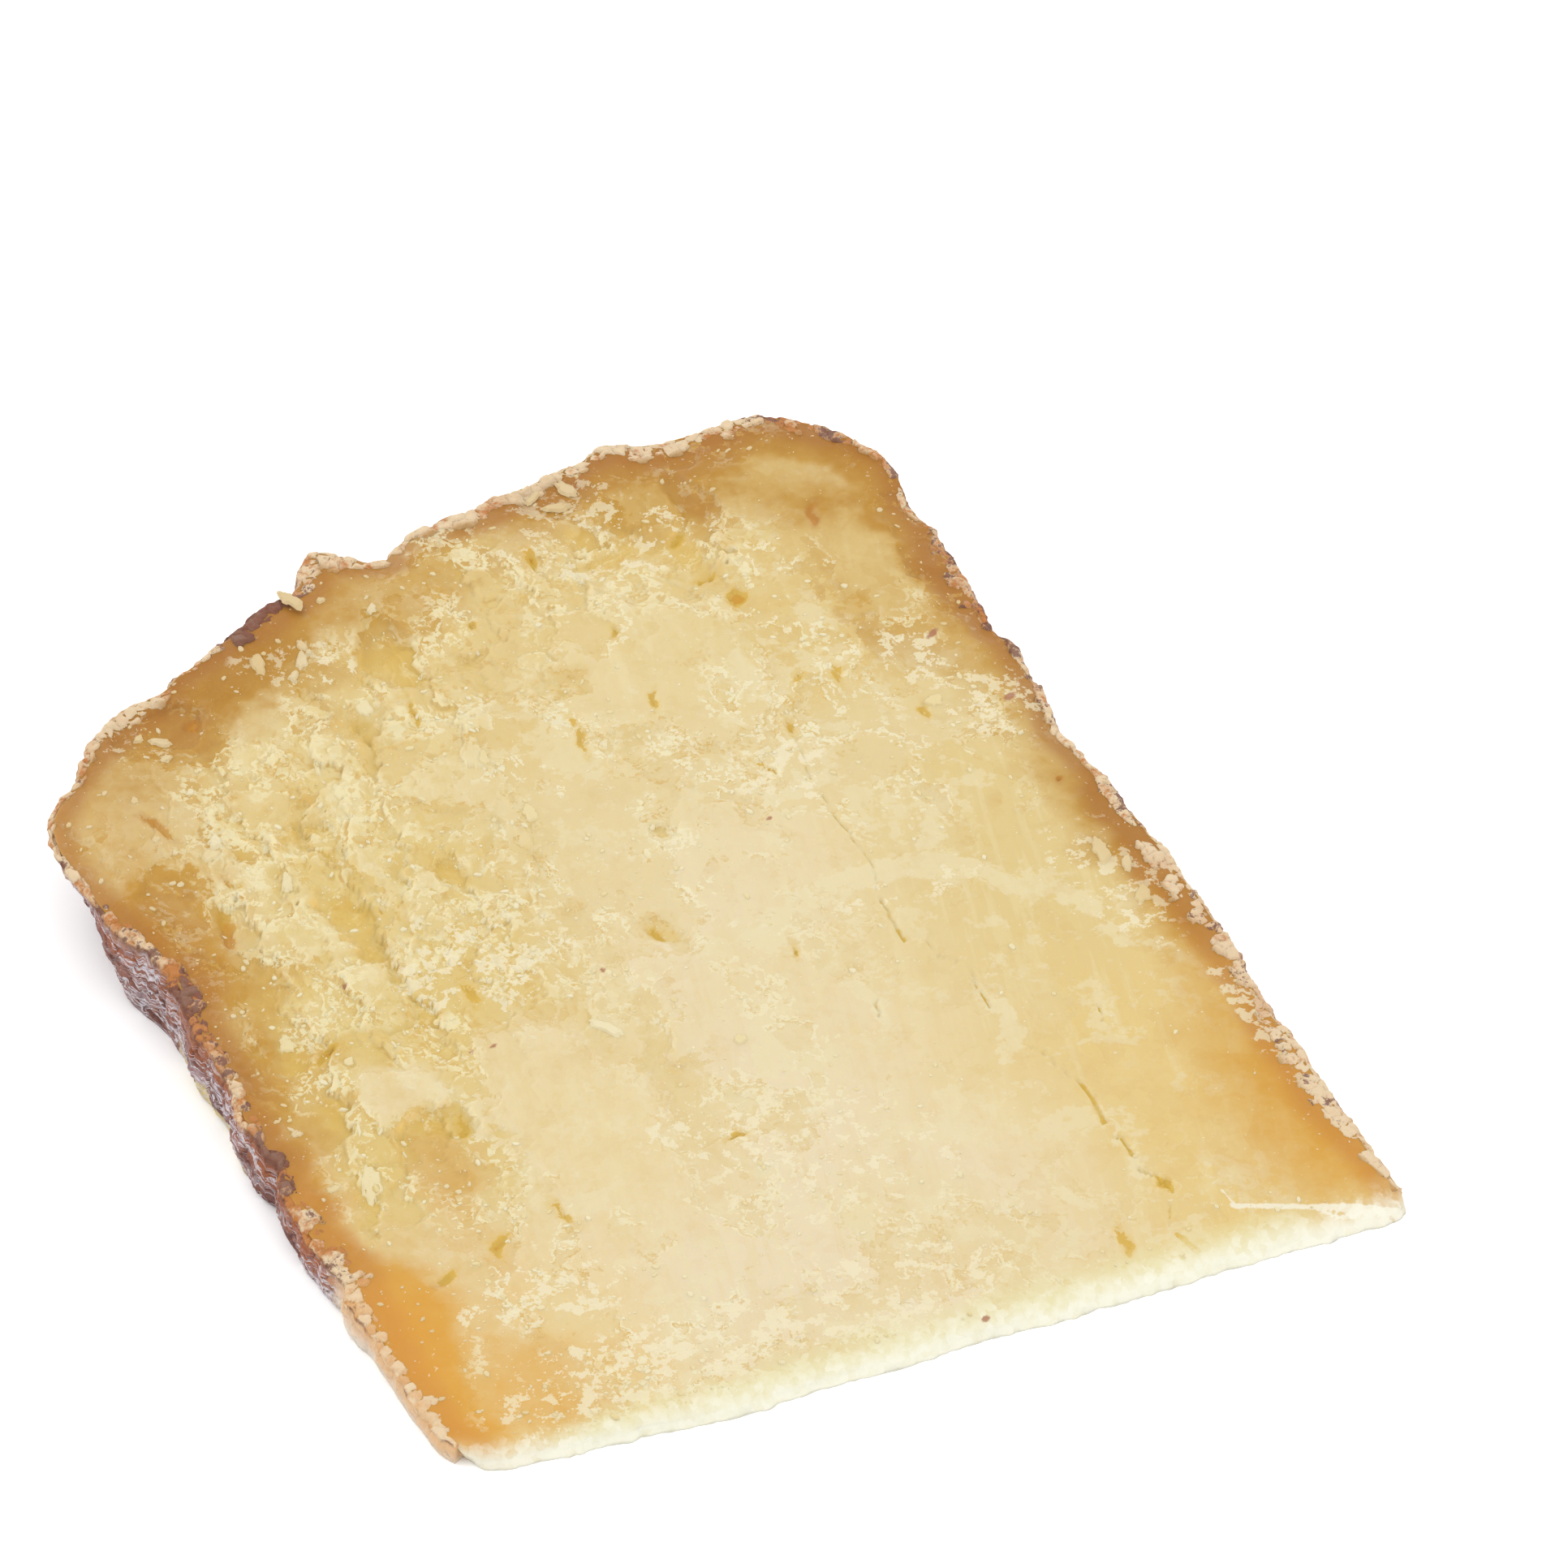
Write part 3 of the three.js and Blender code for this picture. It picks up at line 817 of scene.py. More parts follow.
def store_numbers(bm, numbers):
    layers = {name: bm.verts.layers.float.new(name) for name in numbers}
    for name, values in numbers.items():
        layer = layers[name]
        for vertex, value in zip(bm.verts, values.tolist()):
            vertex[layer] = value


def smooth_quads(bm):
    bmesh.ops.recalc_face_normals(bm, faces=bm.faces)
    for face in bm.faces:
        face.smooth = len(face.verts) == 4


def link_mesh(mesh, name):
    piece = bpy.data.objects.new(name, mesh)
    bpy.context.scene.collection.objects.link(piece)
    return piece


def link_bmesh(bm, name):
    mesh = bpy.data.meshes.new(name)
    bm.to_mesh(mesh)
    bm.free()
    return link_mesh(mesh, name)


def print_triangles(piece):
    piece.data.calc_loop_triangles()
    print(piece.name + ":", len(piece.data.loop_triangles), "triangles")


# %% [markdown]
# The material needs a few more numbers, which depend on the neighbours of a vertex. How deep it
# lies in a hollow is found by comparing the face with a blurred copy of itself. How far it is
# from the edge of a torn sheet, in millimetres, is the sheet's field above its level, divided by
# the steepness of the field. How the face leans to the key light says which slopes get a painted
# highlight, and which a painted deep yellow shade for the light that reaches them through the cheese.

# %% Numbers that depend on the neighbours
CELL = WHEEL_RADIUS / ROWS
FROM_KEY = (0.58, -0.81)
FARTHEST_WAY = 4.0


def on_grid(values, row, column):
    """Values of the vertices, laid out in the rows and columns of the grid."""
    table = np.zeros((ROWS + 1, COLUMNS + 1))
    table[row, column] = values
    return table


def blurred(field, reach):
    """A running mean along the rows and the columns, twice, which is nearly a round blur."""
    width = 2 * reach + 1
    for _ in range(4):
        total = np.cumsum(np.pad(field, ((reach + 1, reach), (0, 0)), mode="edge"), axis=0)
        field = ((total[width:] - total[:-width]) / width).T
    return field


def ways_to_edges(marks, row, column):
    """How far each vertex is outside the edges of the sheets, in mm; below 0 the sheet is whole."""
    ways = {}
    for name, level, _, _ in EDGES:
        field = on_grid(marks[name] - level, row, column)
        steepness = blurred(np.hypot(*np.gradient(field, CELL)), 3) + 0.15 / FIELDS[name][0]
        ways[name + "_way"] = np.clip(field / steepness, -FARTHEST_WAY, FARTHEST_WAY)[row, column]
    return ways


def fall_from_light(field):
    """How steeply the face falls away from the key light at each cell; below 0 it faces the light."""
    along, across = np.gradient(blurred(field, 1), CELL)
    return -(FROM_KEY[0] * across + FROM_KEY[1] * along)


print("cell of the face, mm:", round(CELL, 3))

# %% [markdown]
# The paste is the cheese under the rind. A bmesh grid becomes the cut face. It could be a plane
# with a displacement, but then its border would not follow the rind. At the thin front the face
# is ragged and dips to an edge thinner than a knife cut.

# %% The cut face of the paste
PASTE_INSET = 0.45
FRONT_FRAY = 0.9
FRONT_DROP = 1.0
FRONT_RUN = 1.5
FRONT_LEAN = 0.5
LEAST_HEIGHT = 0.35
HOLLOW_REACH = 9
FULL_HOLLOW = 0.9


def drape_face(bm):
    """Lays a fresh grid on the cut face with its numbers, and gives each vertex's way in."""
    u, v = grid_shares(bm)
    points = inside_points(inset_sides(sides, PASTE_INSET), u, v)
    x, y = points.T
    rind_distance, nearest = nearest_rind(points)
    drop, marks = face_relief(x, y, rind_distance)
    front = v * WHEEL_RADIUS
    pulled_back = FRONT_LEAN + FRONT_FRAY * layered_noise(x / 2.2, 0 * x, 160, 3, 0.7)
    y = y + pulled_back * np.exp(-front / FRONT_RUN)
    drop = drop + FRONT_DROP * np.exp(-((front / FRONT_RUN) ** 1.5))
    height = np.maximum(LEAST_HEIGHT, slope(y) - drop)

    column = np.rint(u * COLUMNS).astype(int)
    row = np.rint(v * ROWS).astype(int)
    field = on_grid(height - slope(y), row, column)
    hollow = (blurred(field, HOLLOW_REACH)[row, column] - field[row, column]) / FULL_HOLLOW
    for vertex, px, py, pz in zip(bm.verts, x, y, height):
        vertex.co = to_frame(px, py, pz)
    store_numbers(bm, {
        "hollow": np.clip(hollow, 0, 1),
        "away": fall_from_light(field)[row, column],
        "crust_way": rind_distance - crust_widths[nearest],
        "front": front,
        **{name: values for name, values in marks.items() if name not in FIELDS},
        **ways_to_edges(marks, row, column),
    })
    return (points - rind_line[nearest]) / np.maximum(rind_distance, 0.01)[:, None]


paste_bm = bmesh.new()
bmesh.ops.create_grid(paste_bm, x_segments=COLUMNS, y_segments=ROWS, size=1)
ways_in = drape_face(paste_bm)
print("vertices of the cut face:", len(paste_bm.verts))

# %% [markdown]
# The border of the face is extruded down to the base in a few rows, and the base is one flat
# face. Going down, the wall is drawn in a little, and more at the undercut shoulder, so that it
# stays hidden behind the rind. The thin front has no rind: it leans forward and is left ragged.

# %% The wall of the paste
WALL_ROWS = 3
PASTE_TUCK = 1.0
SHOULDER_UNDERCUT = 5.0


def shoulder_share(x, y):
    """How far a place on the rind belongs to the left shoulder, which is undercut."""
    return rise(0, -20, x) * rise(65, 78, y) * rise(97, 86, y)


def wall_place(top, inward, down):
    """Where the wall is below a point of the border; down goes from 0 at the top to 1."""
    x = top.x / MM + SLICE_MIDDLE[0]
    y = top.y / MM + SLICE_MIDDLE[1]
    tuck = PASTE_TUCK + SHOULDER_UNDERCUT * float(shoulder_share(x, y))
    place = top + inward * (tuck * down * float(rise(1, 5, y)) * MM)
    fray = 0.25 * (float(smooth_noise(np.array(x / 0.7), np.array(down * 3.0), 95)) - 0.5)
    out = float(rise(5, 1, y)) * (FRONT_LEAN * down + fray * math.sin(math.pi * down))
    return Vector((place.x, place.y - out * MM, top.z * (1 - down)))


def draw_down_wall(bm, ways_in):
    top = bm.verts.layers.float_vector.new("top")
    inward = bm.verts.layers.float_vector.new("inward")
    for vertex, (in_x, in_y) in zip(bm.verts, ways_in):
        vertex[top] = vertex.co
        vertex[inward] = Vector((in_x, in_y, 0))
    border = [edge for edge in bm.edges if edge.is_boundary]
    for step in range(1, WALL_ROWS + 1):
        made = bmesh.ops.extrude_edge_only(bm, edges=border)["geom"]
        border = [edge for edge in made if isinstance(edge, bmesh.types.BMEdge) and edge.is_boundary]
        for vertex in {vertex for edge in border for vertex in edge.verts}:
            vertex.co = wall_place(vertex[top], vertex[inward], step / WALL_ROWS)
    bmesh.ops.contextual_create(bm, geom=border)
    for name in ("top", "inward"):
        bm.verts.layers.float_vector.remove(bm.verts.layers.float_vector[name])


draw_down_wall(paste_bm, ways_in)
smooth_quads(paste_bm)
paste = link_bmesh(paste_bm, "paste")
print_triangles(paste)

# %% [markdown]
# The rind is a dry crust about a millimetre or two thick. It could be painted on, but its torn
# inner edge and its lumps show against the paste, so it is a strip of its own. Its path follows
# the outline from the tip's right end, round the heel, to the tip's left end. The noise of its
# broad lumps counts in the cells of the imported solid, so that the lumps fall where they do there.

# %% The path of the rind
FINE = 9
SOLID_COLUMNS = 54
SOLID_ROWS = 70
END_CELLS = 12


def rind_path():
    """Outline points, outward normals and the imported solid's rim cell of each."""
    _, right, heel, left = sampled_sides(SOLID_COLUMNS * FINE, SOLID_ROWS * FINE)
    path = np.concatenate([right[:-1], heel[:-1], left])
    rim_cell = SOLID_COLUMNS + np.arange(len(path)) / FINE
    run = np.gradient(path, axis=0)
    normals = np.stack([run[:, 1], -run[:, 0]], axis=1)
    normals = np.stack([blurred(np.tile(part, (3, 1)), 4)[1] for part in normals.T], axis=1)
    normals /= np.linalg.norm(normals, axis=1)[:, None]
    keep = slice(END_CELLS, len(path) - END_CELLS)
    return path[keep], normals[keep], rim_cell[keep]


path, path_normals, path_cells = rind_path()
print("points along the path:", len(path))

# %% [markdown]
# Two functions shape the strip. On the cut face the crust is made of grains that lie on the
# paste's own relief, with gaps between them, and it dives into the paste at a frayed inner edge.
# The wall has broad lumps, a slight bulge, a foot that is drawn in, and wrinkles and scales.

# %% The surface of the rind
RIND_BULGE = 0.5
FOOT_TUCK = 0.6
GRAIN_SIZE = 1.15
SCALE_LENGTH = 2.4
SCALE_HEIGHT = 1.4


def crust_relief(x, y, inset, width):
    """How far the crust stands above the cut face, with the grains and gaps that colour it."""
    nearest, second, grain, _ = chunks(x / GRAIN_SIZE, y / GRAIN_SIZE, 110)
    gap = rise(0.22, 0.0, second - nearest)
    ragged = layered_noise(x / 1.6, y / 1.6, 115, 3, 0.7) - 0.5
    raised = 0.10 + 0.5 * ragged + 0.26 * (grain - 0.4) - 0.18 * gap
    raised = raised - 1.4 * np.clip(inset - width * (0.8 + 1.1 * ragged), 0, 2)
    return raised - 0.35 * np.clip(1 - inset / 0.5, 0, 1) ** 2, grain, gap


def wall_relief(cell, along, depth, down, thick, thin):
    """How far the wall stands out, with the scales and gaps that colour it."""
    big = 2 * layered_noise(cell / 2.6, down * 2.1, 60, 2) - 1
    out = thick * (RIND_BULGE * np.sin(np.pi * down) + RIND_LUMP * big * (1 - down))
    out = out - FOOT_TUCK * thick * down**3
    wrinkle = layered_noise(along / 2.0, depth / 0.8, 120, 4, 0.6) - 0.5
    nearest, second, scale, _ = chunks(along / SCALE_LENGTH, depth / SCALE_HEIGHT, 130)
    rough = 0.7 * wrinkle - 0.2 * rise(0.25, 0, second - nearest) + 0.25 * (scale - 0.5)
    out = out + thin * rough * rise(0, 0.08, down) * rise(1, 0.9, down)
    return out, scale, rise(0.2, 0, second - nearest)


depths = np.linspace(0, 2, 5)
print("crust at", depths, "mm from its rim, mm:", crust_relief(depths, depths, depths, 1.5)[0].round(2))

# %% [markdown]
# Now a grid is wrapped round the slice: one way it runs along the path, the other way it goes
# over the top of the crust, down the wall, and back under. The last row is welded to the first,
# so the strip is a closed tube, and both ends are capped near the tip.

# %% Make the rind
TOP_CELLS = 16
WALL_CELLS = 34
CRUST_LAP = 0.8
END_TAPER = 4.0
LEAST_FACE_HEIGHT = 0.5
BACK_TUCK = 0.9


def make_rind():
    count = len(path)
    around = TOP_CELLS + WALL_CELLS + 2
    bm = bmesh.new()
    bmesh.ops.create_grid(bm, x_segments=count - 1, y_segments=around, size=1)
    along_share, round_share = grid_shares(bm)
    i = np.rint(along_share * (count - 1)).astype(int)
    j = np.rint(round_share * around).astype(int) % around

    px, py = path.T
    length = np.concatenate([[0], np.cumsum(np.linalg.norm(np.diff(path, axis=0), axis=1))])
    width, cream, dark = crust_at(px, py)
    taper = rise(0, END_TAPER, np.minimum(length, length[-1] - length))
    width = width * blend(0.3, 1, taper)
    on_top = j <= TOP_CELLS
    back = j > TOP_CELLS + WALL_CELLS
    down = np.clip((j - TOP_CELLS) / WALL_CELLS, 0, 1)
    inset = (width[i] + CRUST_LAP) * np.where(on_top, 1 - j / TOP_CELLS, np.where(back, 1, 0))

    # heights: the crust lies on the paste's own relief, and the wall goes down from its rim
    base_x = px[i] - path_normals[i, 0] * inset
    base_y = py[i] - path_normals[i, 1] * inset
    drop, _ = face_relief(base_x, base_y, inset)
    face_z = np.maximum(LEAST_FACE_HEIGHT, slope(base_y) - drop)
    raised, grain, gap = crust_relief(base_x, base_y, inset, width[i])
    first_row = {int(column): k for k, column in enumerate(i) if j[k] == TOP_CELLS}
    rim_row = np.array([first_row[column] for column in range(count)])
    rim_height = (face_z + raised)[rim_row]
    thick = rim_height / HEEL_THICKNESS
    thin = np.minimum(1, 3 * thick)
    z = np.where(on_top, face_z + raised * thin[i], rim_height[i] * (1 - down))
    z = np.where(back, 0.0, np.maximum(z, 0.0))

    # outward: the wall's own relief, a frill along the rim, and the undercut shoulder
    depth = rim_height[i] * down
    out, scale, wall_gap = wall_relief(path_cells[i], length[i], depth, down, thick[i], thin[i])
    under = SHOULDER_UNDERCUT * shoulder_share(px, py)[i]
    edge_noise = layered_noise(length[i] / 1.1, length[i] * 0, 140, 3, 0.6) - 0.5
    frill = 0.5 * edge_noise * np.where(on_top, 1 - np.clip(inset / 0.8, 0, 1), 1 - down)
    out = np.where(back, -BACK_TUCK * under, out + frill - down * under)
    x = px[i] + path_normals[i, 0] * (out - inset)
    y = py[i] + path_normals[i, 1] * (out - inset)
    for vertex, vx, vy, vz in zip(bm.verts, x, y, z):
        vertex.co = to_frame(vx, vy, vz)
    store_numbers(bm, {
        "wall": np.where(on_top, 0.0, np.clip(down * 8, 0, 1)),
        "along": length[i],
        "down": depth,
        "outer": np.where(on_top, 1 - np.clip(inset / 0.7, 0, 1), 1),
        "inner": np.where(on_top, inset / width[i], 0),
        "grain": np.where(on_top, grain, scale),
        "gap": np.where(on_top, gap, wall_gap),
        "cream": cream[i],
        "dark": dark[i],
    })
    bmesh.ops.remove_doubles(bm, verts=bm.verts, dist=1e-7)
    bmesh.ops.holes_fill(bm, edges=[edge for edge in bm.edges if edge.is_boundary], sides=0)
    smooth_quads(bm)
    print("open edges of the rind:", sum(edge.is_boundary for edge in bm.edges))
    return link_bmesh(bm, "rind")


rind = make_rind()
print_triangles(rind)

# %% [markdown]
# Aged cheese is full of small pale flakes: scraps that the knife tore loose, and the crystals
# that form as it dries. Each shape is a capped circle with its corners pushed about, extruded
# into a thin plate with a smaller, bumpy top. A few different ones are enough, as they are laid
# down at many sizes and turns.

# %% Shapes of the flakes
# How many shapes there are, their corners and their thickness
LARGE_KIND = (6, 21, 0.3)
SMALL_KIND = (9, 7, 0.45)


def flake_shape(seed, corners):
    """A thin plate with a ragged outline, about half a unit in radius, as corners and faces."""
    rng = np.random.default_rng(seed)
    bm = bmesh.new()
    bmesh.ops.create_circle(bm, cap_ends=True, segments=corners, radius=0.5)
    reach = rng.uniform(0.5, 1.25, corners)
    reach = 0.6 * reach + 0.2 * np.roll(reach, 1) + 0.2 * np.roll(reach, -1)
    for vertex, share in zip(bm.verts, reach):
        vertex.co = vertex.co * share
    made = bmesh.ops.extrude_face_region(bm, geom=list(bm.faces))["geom"]
    for vertex in made:
        if isinstance(vertex, bmesh.types.BMVert):
            vertex.co = Vector((vertex.co.x * 0.75, vertex.co.y * 0.75, rng.uniform(0.6, 1.0)))
    bmesh.ops.recalc_face_normals(bm, faces=bm.faces)
    bm.verts.index_update()
    shape_corners = np.array([vertex.co for vertex in bm.verts])
    shape_faces = [[vertex.index for vertex in face.verts] for face in bm.faces]
    bm.free()
    return shape_corners, shape_faces


large_shapes = [flake_shape(seed, LARGE_KIND[1]) for seed in range(LARGE_KIND[0])]
small_shapes = [flake_shape(seed, SMALL_KIND[1]) for seed in range(SMALL_KIND[0])]
print("shapes of flakes:", len(large_shapes), "large and", len(small_shapes), "small")

# %% [markdown]
# The large flakes are laid where they are listed. The places of the small ones are drawn at
# random from a fixed seed, and kept more often on the lips of the torn sheets, on crumbly cheese
# and near the rind.

# %% Places of the flakes
FLAKE_SEED = 819
# Large flakes that show one by one: centre, length, width, turn in degrees, lift
LARGE_FLAKES = [
    (-11.2, 99.4, 3.4, 1.6, 100, 0.7),
    (-16.6, 93.4, 3.6, 1.3, 80, 0.1),
    (-13.2, 92.3, 2.6, 1.3, 65, 0.1),
    (-14.6, 90.8, 1.5, 1.0, 50, 0.1),
    (-12.4, 94.0, 1.5, 0.8, 95, 0.1),
    (-27.4, 88.2, 2.4, 1.2, 155, 0.1),
    (-29.0, 89.4, 1.1, 0.9, 30, 0.1),
    (-28.0, 85.8, 1.7, 0.7, 30, 0.1),
    (-32.7, 81.4, 1.1, 0.9, 70, 0),
    (-28.1, 80.8, 1.2, 0.9, 60, 0),
    (-33.0, 76.3, 0.9, 0.7, 20, 0),
    (-32.1, 74.4, 0.9, 0.6, 100, 0),
    (-28.6, 74.6, 2.6, 1.4, 60, 0.1),
    (-29.6, 72.9, 2.2, 1.4, 30, 0.1),
    (-25.4, 67.4, 2.8, 1.3, 70, 0.05),
    (-17.4, 79.6, 2.4, 0.6, 82, 0.05),
    (-10.6, 85.4, 2.2, 1.6, 80, 0),
    (-4.5, 75.2, 3.0, 1.0, 75, 0),
    (-3.8, 68.0, 2.6, 1.7, 70, 0),
    (-8.6, 98.8, 1.0, 0.8, 40, 0.1),
    (-5.2, 96.2, 1.4, 1.1, 60, 0),
    (-8.9, 41.8, 3.8, 1.5, 125, 0.1),
    (-29.3, 46.3, 1.2, 0.9, 60, 0),
    (-32.6, 50.8, 2.4, 1.6, 100, 0),
    (-31.8, 38.8, 1.9, 0.4, 72, 0),
    (-36.4, 40.2, 1.4, 1.0, 20, 0),
    (-33.3, 33.0, 5.0, 2.4, 70, 0),
    (-36.4, 33.4, 1.6, 0.9, 20, 0),
    (0.1, 36.4, 1.3, 1.1, 10, 0.05),
    (32.7, 67.9, 2.1, 1.8, 60, 0),
    (36.7, 45.7, 3.8, 1.8, 75, 0.05),
    (38.0, 43.4, 2.8, 1.0, 70, 0.05),
    (37.4, 39.4, 2.7, 1.8, 60, 0.05),
    (13.4, 105.0, 2.6, 0.9, 40, 0.2),
    (16.5, 104.8, 2.5, 1.2, 110, 0.2),
    (14.8, 102.9, 2.8, 1.1, 170, 0.2),
]
SMALL_FLAKES = 2200


def lip_share(marks):
    """How far each place lies on the lip of a torn sheet."""
    on_lip = 0
    for name, level, _, where in EDGES:
        size = FIELDS[name][0]
        near_edge = rise(level - 1.6 / size, level - 0.2 / size, marks[name])
        not_past = marks[name] < level + 0.2 / size
        on_lip = np.maximum(on_lip, near_edge * not_past * marks[where])
    return on_lip


def small_spots(rng):
    """Middles, sizes and turns of the small flakes."""
    tries = 9 * SMALL_FLAKES
    across, along = rng.uniform(size=tries), rng.uniform(0.02, 1, tries)
    points = inside_points(inset_sides(sides, 1.2), across, along)
    points = points + rng.uniform(-0.2, 0.2, points.shape)
    rind_distance = nearest_rind(points)[0]
    _, marks = face_relief(*points.T, rind_distance)
    near_rind = np.clip(1 - rind_distance / 9, 0, 1) * (rise(20, -10, points[:, 0]) + 0.25)
    wanted = 0.003 + 0.25 * lip_share(marks) + 0.04 * marks["crumb"] + 0.04 * near_rind
    wanted = (wanted + 0.2 * marks["crumbs"] ** 2) * (1 - marks["whole"])
    kept = points[rng.uniform(size=tries) < wanted][:SMALL_FLAKES]
    width = 0.13 + 0.5 * rng.uniform(size=len(kept)) ** 3.5
    length = width * rng.uniform(1.0, 1.9, len(kept))
    turn = rng.uniform(0, 360, len(kept))
    return np.stack([*kept.T, length, width, turn, 0 * width], axis=1)


flake_rng = np.random.default_rng(FLAKE_SEED)
small_flakes = small_spots(flake_rng)
print("flakes:", len(LARGE_FLAKES), "large and", len(small_flakes), "small")

# %% [markdown]
# Every corner of a flake is set to the height of the face below it, so the scraps hug the face.
# Thousands of copies are quickest as one mesh, so their corners are gathered in arrays. Each
# flake also gets a tone of its own.

# %% Make the flakes
def make_flakes(rng):
    corners = []
    faces = []
    tones = []
    count = 0
    large = (LARGE_FLAKES, large_shapes, LARGE_KIND[2])
    small = (small_flakes, small_shapes, SMALL_KIND[2])
    for spots, shapes, thickness in (large, small):
        for k, (x, y, length, width, turn, lift) in enumerate(spots):
            shape_corners, shape_faces = shapes[k % len(shapes)]
            angle = math.radians(turn)
            along = shape_corners[:, 0] * length
            across = shape_corners[:, 1] * width
            corner_x = x + along * math.cos(angle) - across * math.sin(angle)
            corner_y = y + along * math.sin(angle) + across * math.cos(angle)
            up = (shape_corners[:, 2] - 0.5) * thickness * min(width, 1) + lift
            corners.append(np.stack([corner_x, corner_y, up], axis=1))
            faces += [[corner + count for corner in face] for face in shape_faces]
            tones += [rng.uniform()] * len(shape_corners)
            count += len(shape_corners)
    x, y, up = np.concatenate(corners).T
    drop, marks = face_relief(x, y, nearest_rind(np.stack([x, y], axis=1))[0])
    height = np.maximum(LEAST_HEIGHT, slope(y) - drop) + up
    mesh = bpy.data.meshes.new("flakes")
    mesh.from_pydata([to_frame(*corner) for corner in zip(x, y, height)], [], faces)
    for name, values in (("tone", tones), ("band", marks["band"])):
        mesh.attributes.new(name, "FLOAT", "POINT").data.foreach_set("value", values)
    return link_mesh(mesh, "flakes")


flakes = make_flakes(flake_rng)
print_triangles(flakes)

# %% [markdown]
# Materials. Colours are written as the 0 to 255 numbers that one sees on the screen. The studio
# is lit so brightly that a white floor is just overexposed, so each colour is turned into linear
# light and then divided by that brightness, and the faint white sheen that every surface adds is
# taken off.

# %% Colours as they are seen
STUDIO_BRIGHTNESS = 1.45
SHEEN = 0.012


def seen(red, green, blue):
    """The material colour that looks like these screen numbers under the studio's light."""
    def linear(value):
        value /= 255
        return value / 12.92 if value <= 0.04045 else ((value + 0.055) / 1.055) ** 2.4

    return (*(linear(value) / STUDIO_BRIGHTNESS - SHEEN for value in (red, green, blue)), 1)


print("a butter yellow becomes", [round(part, 3) for part in seen(235, 218, 182)])

# %% [markdown]
# A few small helpers keep the node trees readable: each adds one kind of node and returns its
# output, so a finish reads as a list of steps.

# %% Helpers for materials
def new_material(name):
    material = bpy.data.materials.new(name)
    material.use_nodes = True
    tree = material.node_tree
    return material, tree, tree.nodes["Principled BSDF"]


def plug(tree, socket, value):
    if isinstance(value, bpy.types.NodeSocket):
        tree.links.new(value, socket)
    else:
        socket.default_value = value


def object_place(tree):
    return tree.nodes.new("ShaderNodeTexCoord").outputs["Object"]


def x_and_y(tree, place):
    node = tree.nodes.new("ShaderNodeSeparateXYZ")
    plug(tree, node.inputs[0], place)
    return node.outputs["X"], node.outputs["Y"]


def stretched(tree, vector, turn, scale):
    """Places turned about the vertical and drawn out, so that a noise on them becomes streaky."""
    node = tree.nodes.new("ShaderNodeMapping")
    node.vector_type = "TEXTURE"
    plug(tree, node.inputs["Vector"], vector)
    node.inputs["Rotation"].default_value = (0, 0, math.radians(turn))
    node.inputs["Scale"].default_value = scale
    return node.outputs["Vector"]


def noise(tree, vector, scale, detail=4, roughness=0.6, distortion=0):
    node = tree.nodes.new("ShaderNodeTexNoise")
    plug(tree, node.inputs["Vector"], vector)
    node.inputs["Scale"].default_value = scale
    node.inputs["Detail"].default_value = detail
    node.inputs["Roughness"].default_value = roughness
    node.inputs["Distortion"].default_value = distortion
    return node.outputs["Fac"]


def number(tree, name):
    node = tree.nodes.new("ShaderNodeAttribute")
    node.attribute_name = name
    return node.outputs["Fac"]


def spread(tree, value, start, end, low=0.0, high=1.0):
    """Eases a number from low to high as it goes from start to end."""
    node = tree.nodes.new("ShaderNodeMapRange")
    node.interpolation_type = "SMOOTHSTEP"
    plug(tree, node.inputs["Value"], value)
    node.inputs["From Min"].default_value = start
    node.inputs["From Max"].default_value = end
    node.inputs["To Min"].default_value = low
    node.inputs["To Max"].default_value = high
    return node.outputs["Result"]


def sums(tree, operation, a, b):
    node = tree.nodes.new("ShaderNodeMath")
    node.operation = operation
    plug(tree, node.inputs[0], a)
    plug(tree, node.inputs[1], b)
    return node.outputs["Value"]


def times(tree, a, b):
    return sums(tree, "MULTIPLY", a, b)


def highest(tree, a, b):
    return sums(tree, "MAXIMUM", a, b)


def tint(tree, share, under, over):
    """Lays one colour over another by a share from 0 to 1."""
    node = tree.nodes.new("ShaderNodeMix")
    node.data_type = "RGBA"
    node.clamp_factor = True
    plug(tree, node.inputs[0], share)
    plug(tree, node.inputs[6], under)
    plug(tree, node.inputs[7], over)
    return node.outputs[2]


def bump(tree, height, distance, strength=1.0, normal=None):
    node = tree.nodes.new("ShaderNodeBump")
    node.inputs["Strength"].default_value = strength
    node.inputs["Distance"].default_value = distance
    plug(tree, node.inputs["Height"], height)
    if normal is not None:
        plug(tree, node.inputs["Normal"], normal)
    return node.outputs["Normal"]


def uneven(tree, value, *roughening):
    """A number made uneven by noises, each given with its amount: up to half of it either way."""
    for wander, amount in zip(roughening[::2], roughening[1::2]):
        value = sums(tree, "ADD", value, times(tree, sums(tree, "SUBTRACT", wander, 0.5), amount))
    return value


print("materials before ours:", len(bpy.data.materials))

# %% [markdown]
# The finish of the paste is painted in layers, one cell for each. The vertex numbers say roughly
# where a layer lies. Noises are added to them before they are cut off, so that the borders come
# out crisp and frayed, finer than the mesh itself. Two of the noises are mosaics with crooked
# joints, because the borders of broken cheese are angular.

# %% Noises of the paste
def grains(tree, vector, scale):
    """A number for each grain of a random mosaic, the same all over the grain."""
    node = tree.nodes.new("ShaderNodeTexVoronoi")
    plug(tree, node.inputs["Vector"], vector)
    node.inputs["Scale"].default_value = scale
    return node.outputs["Color"]


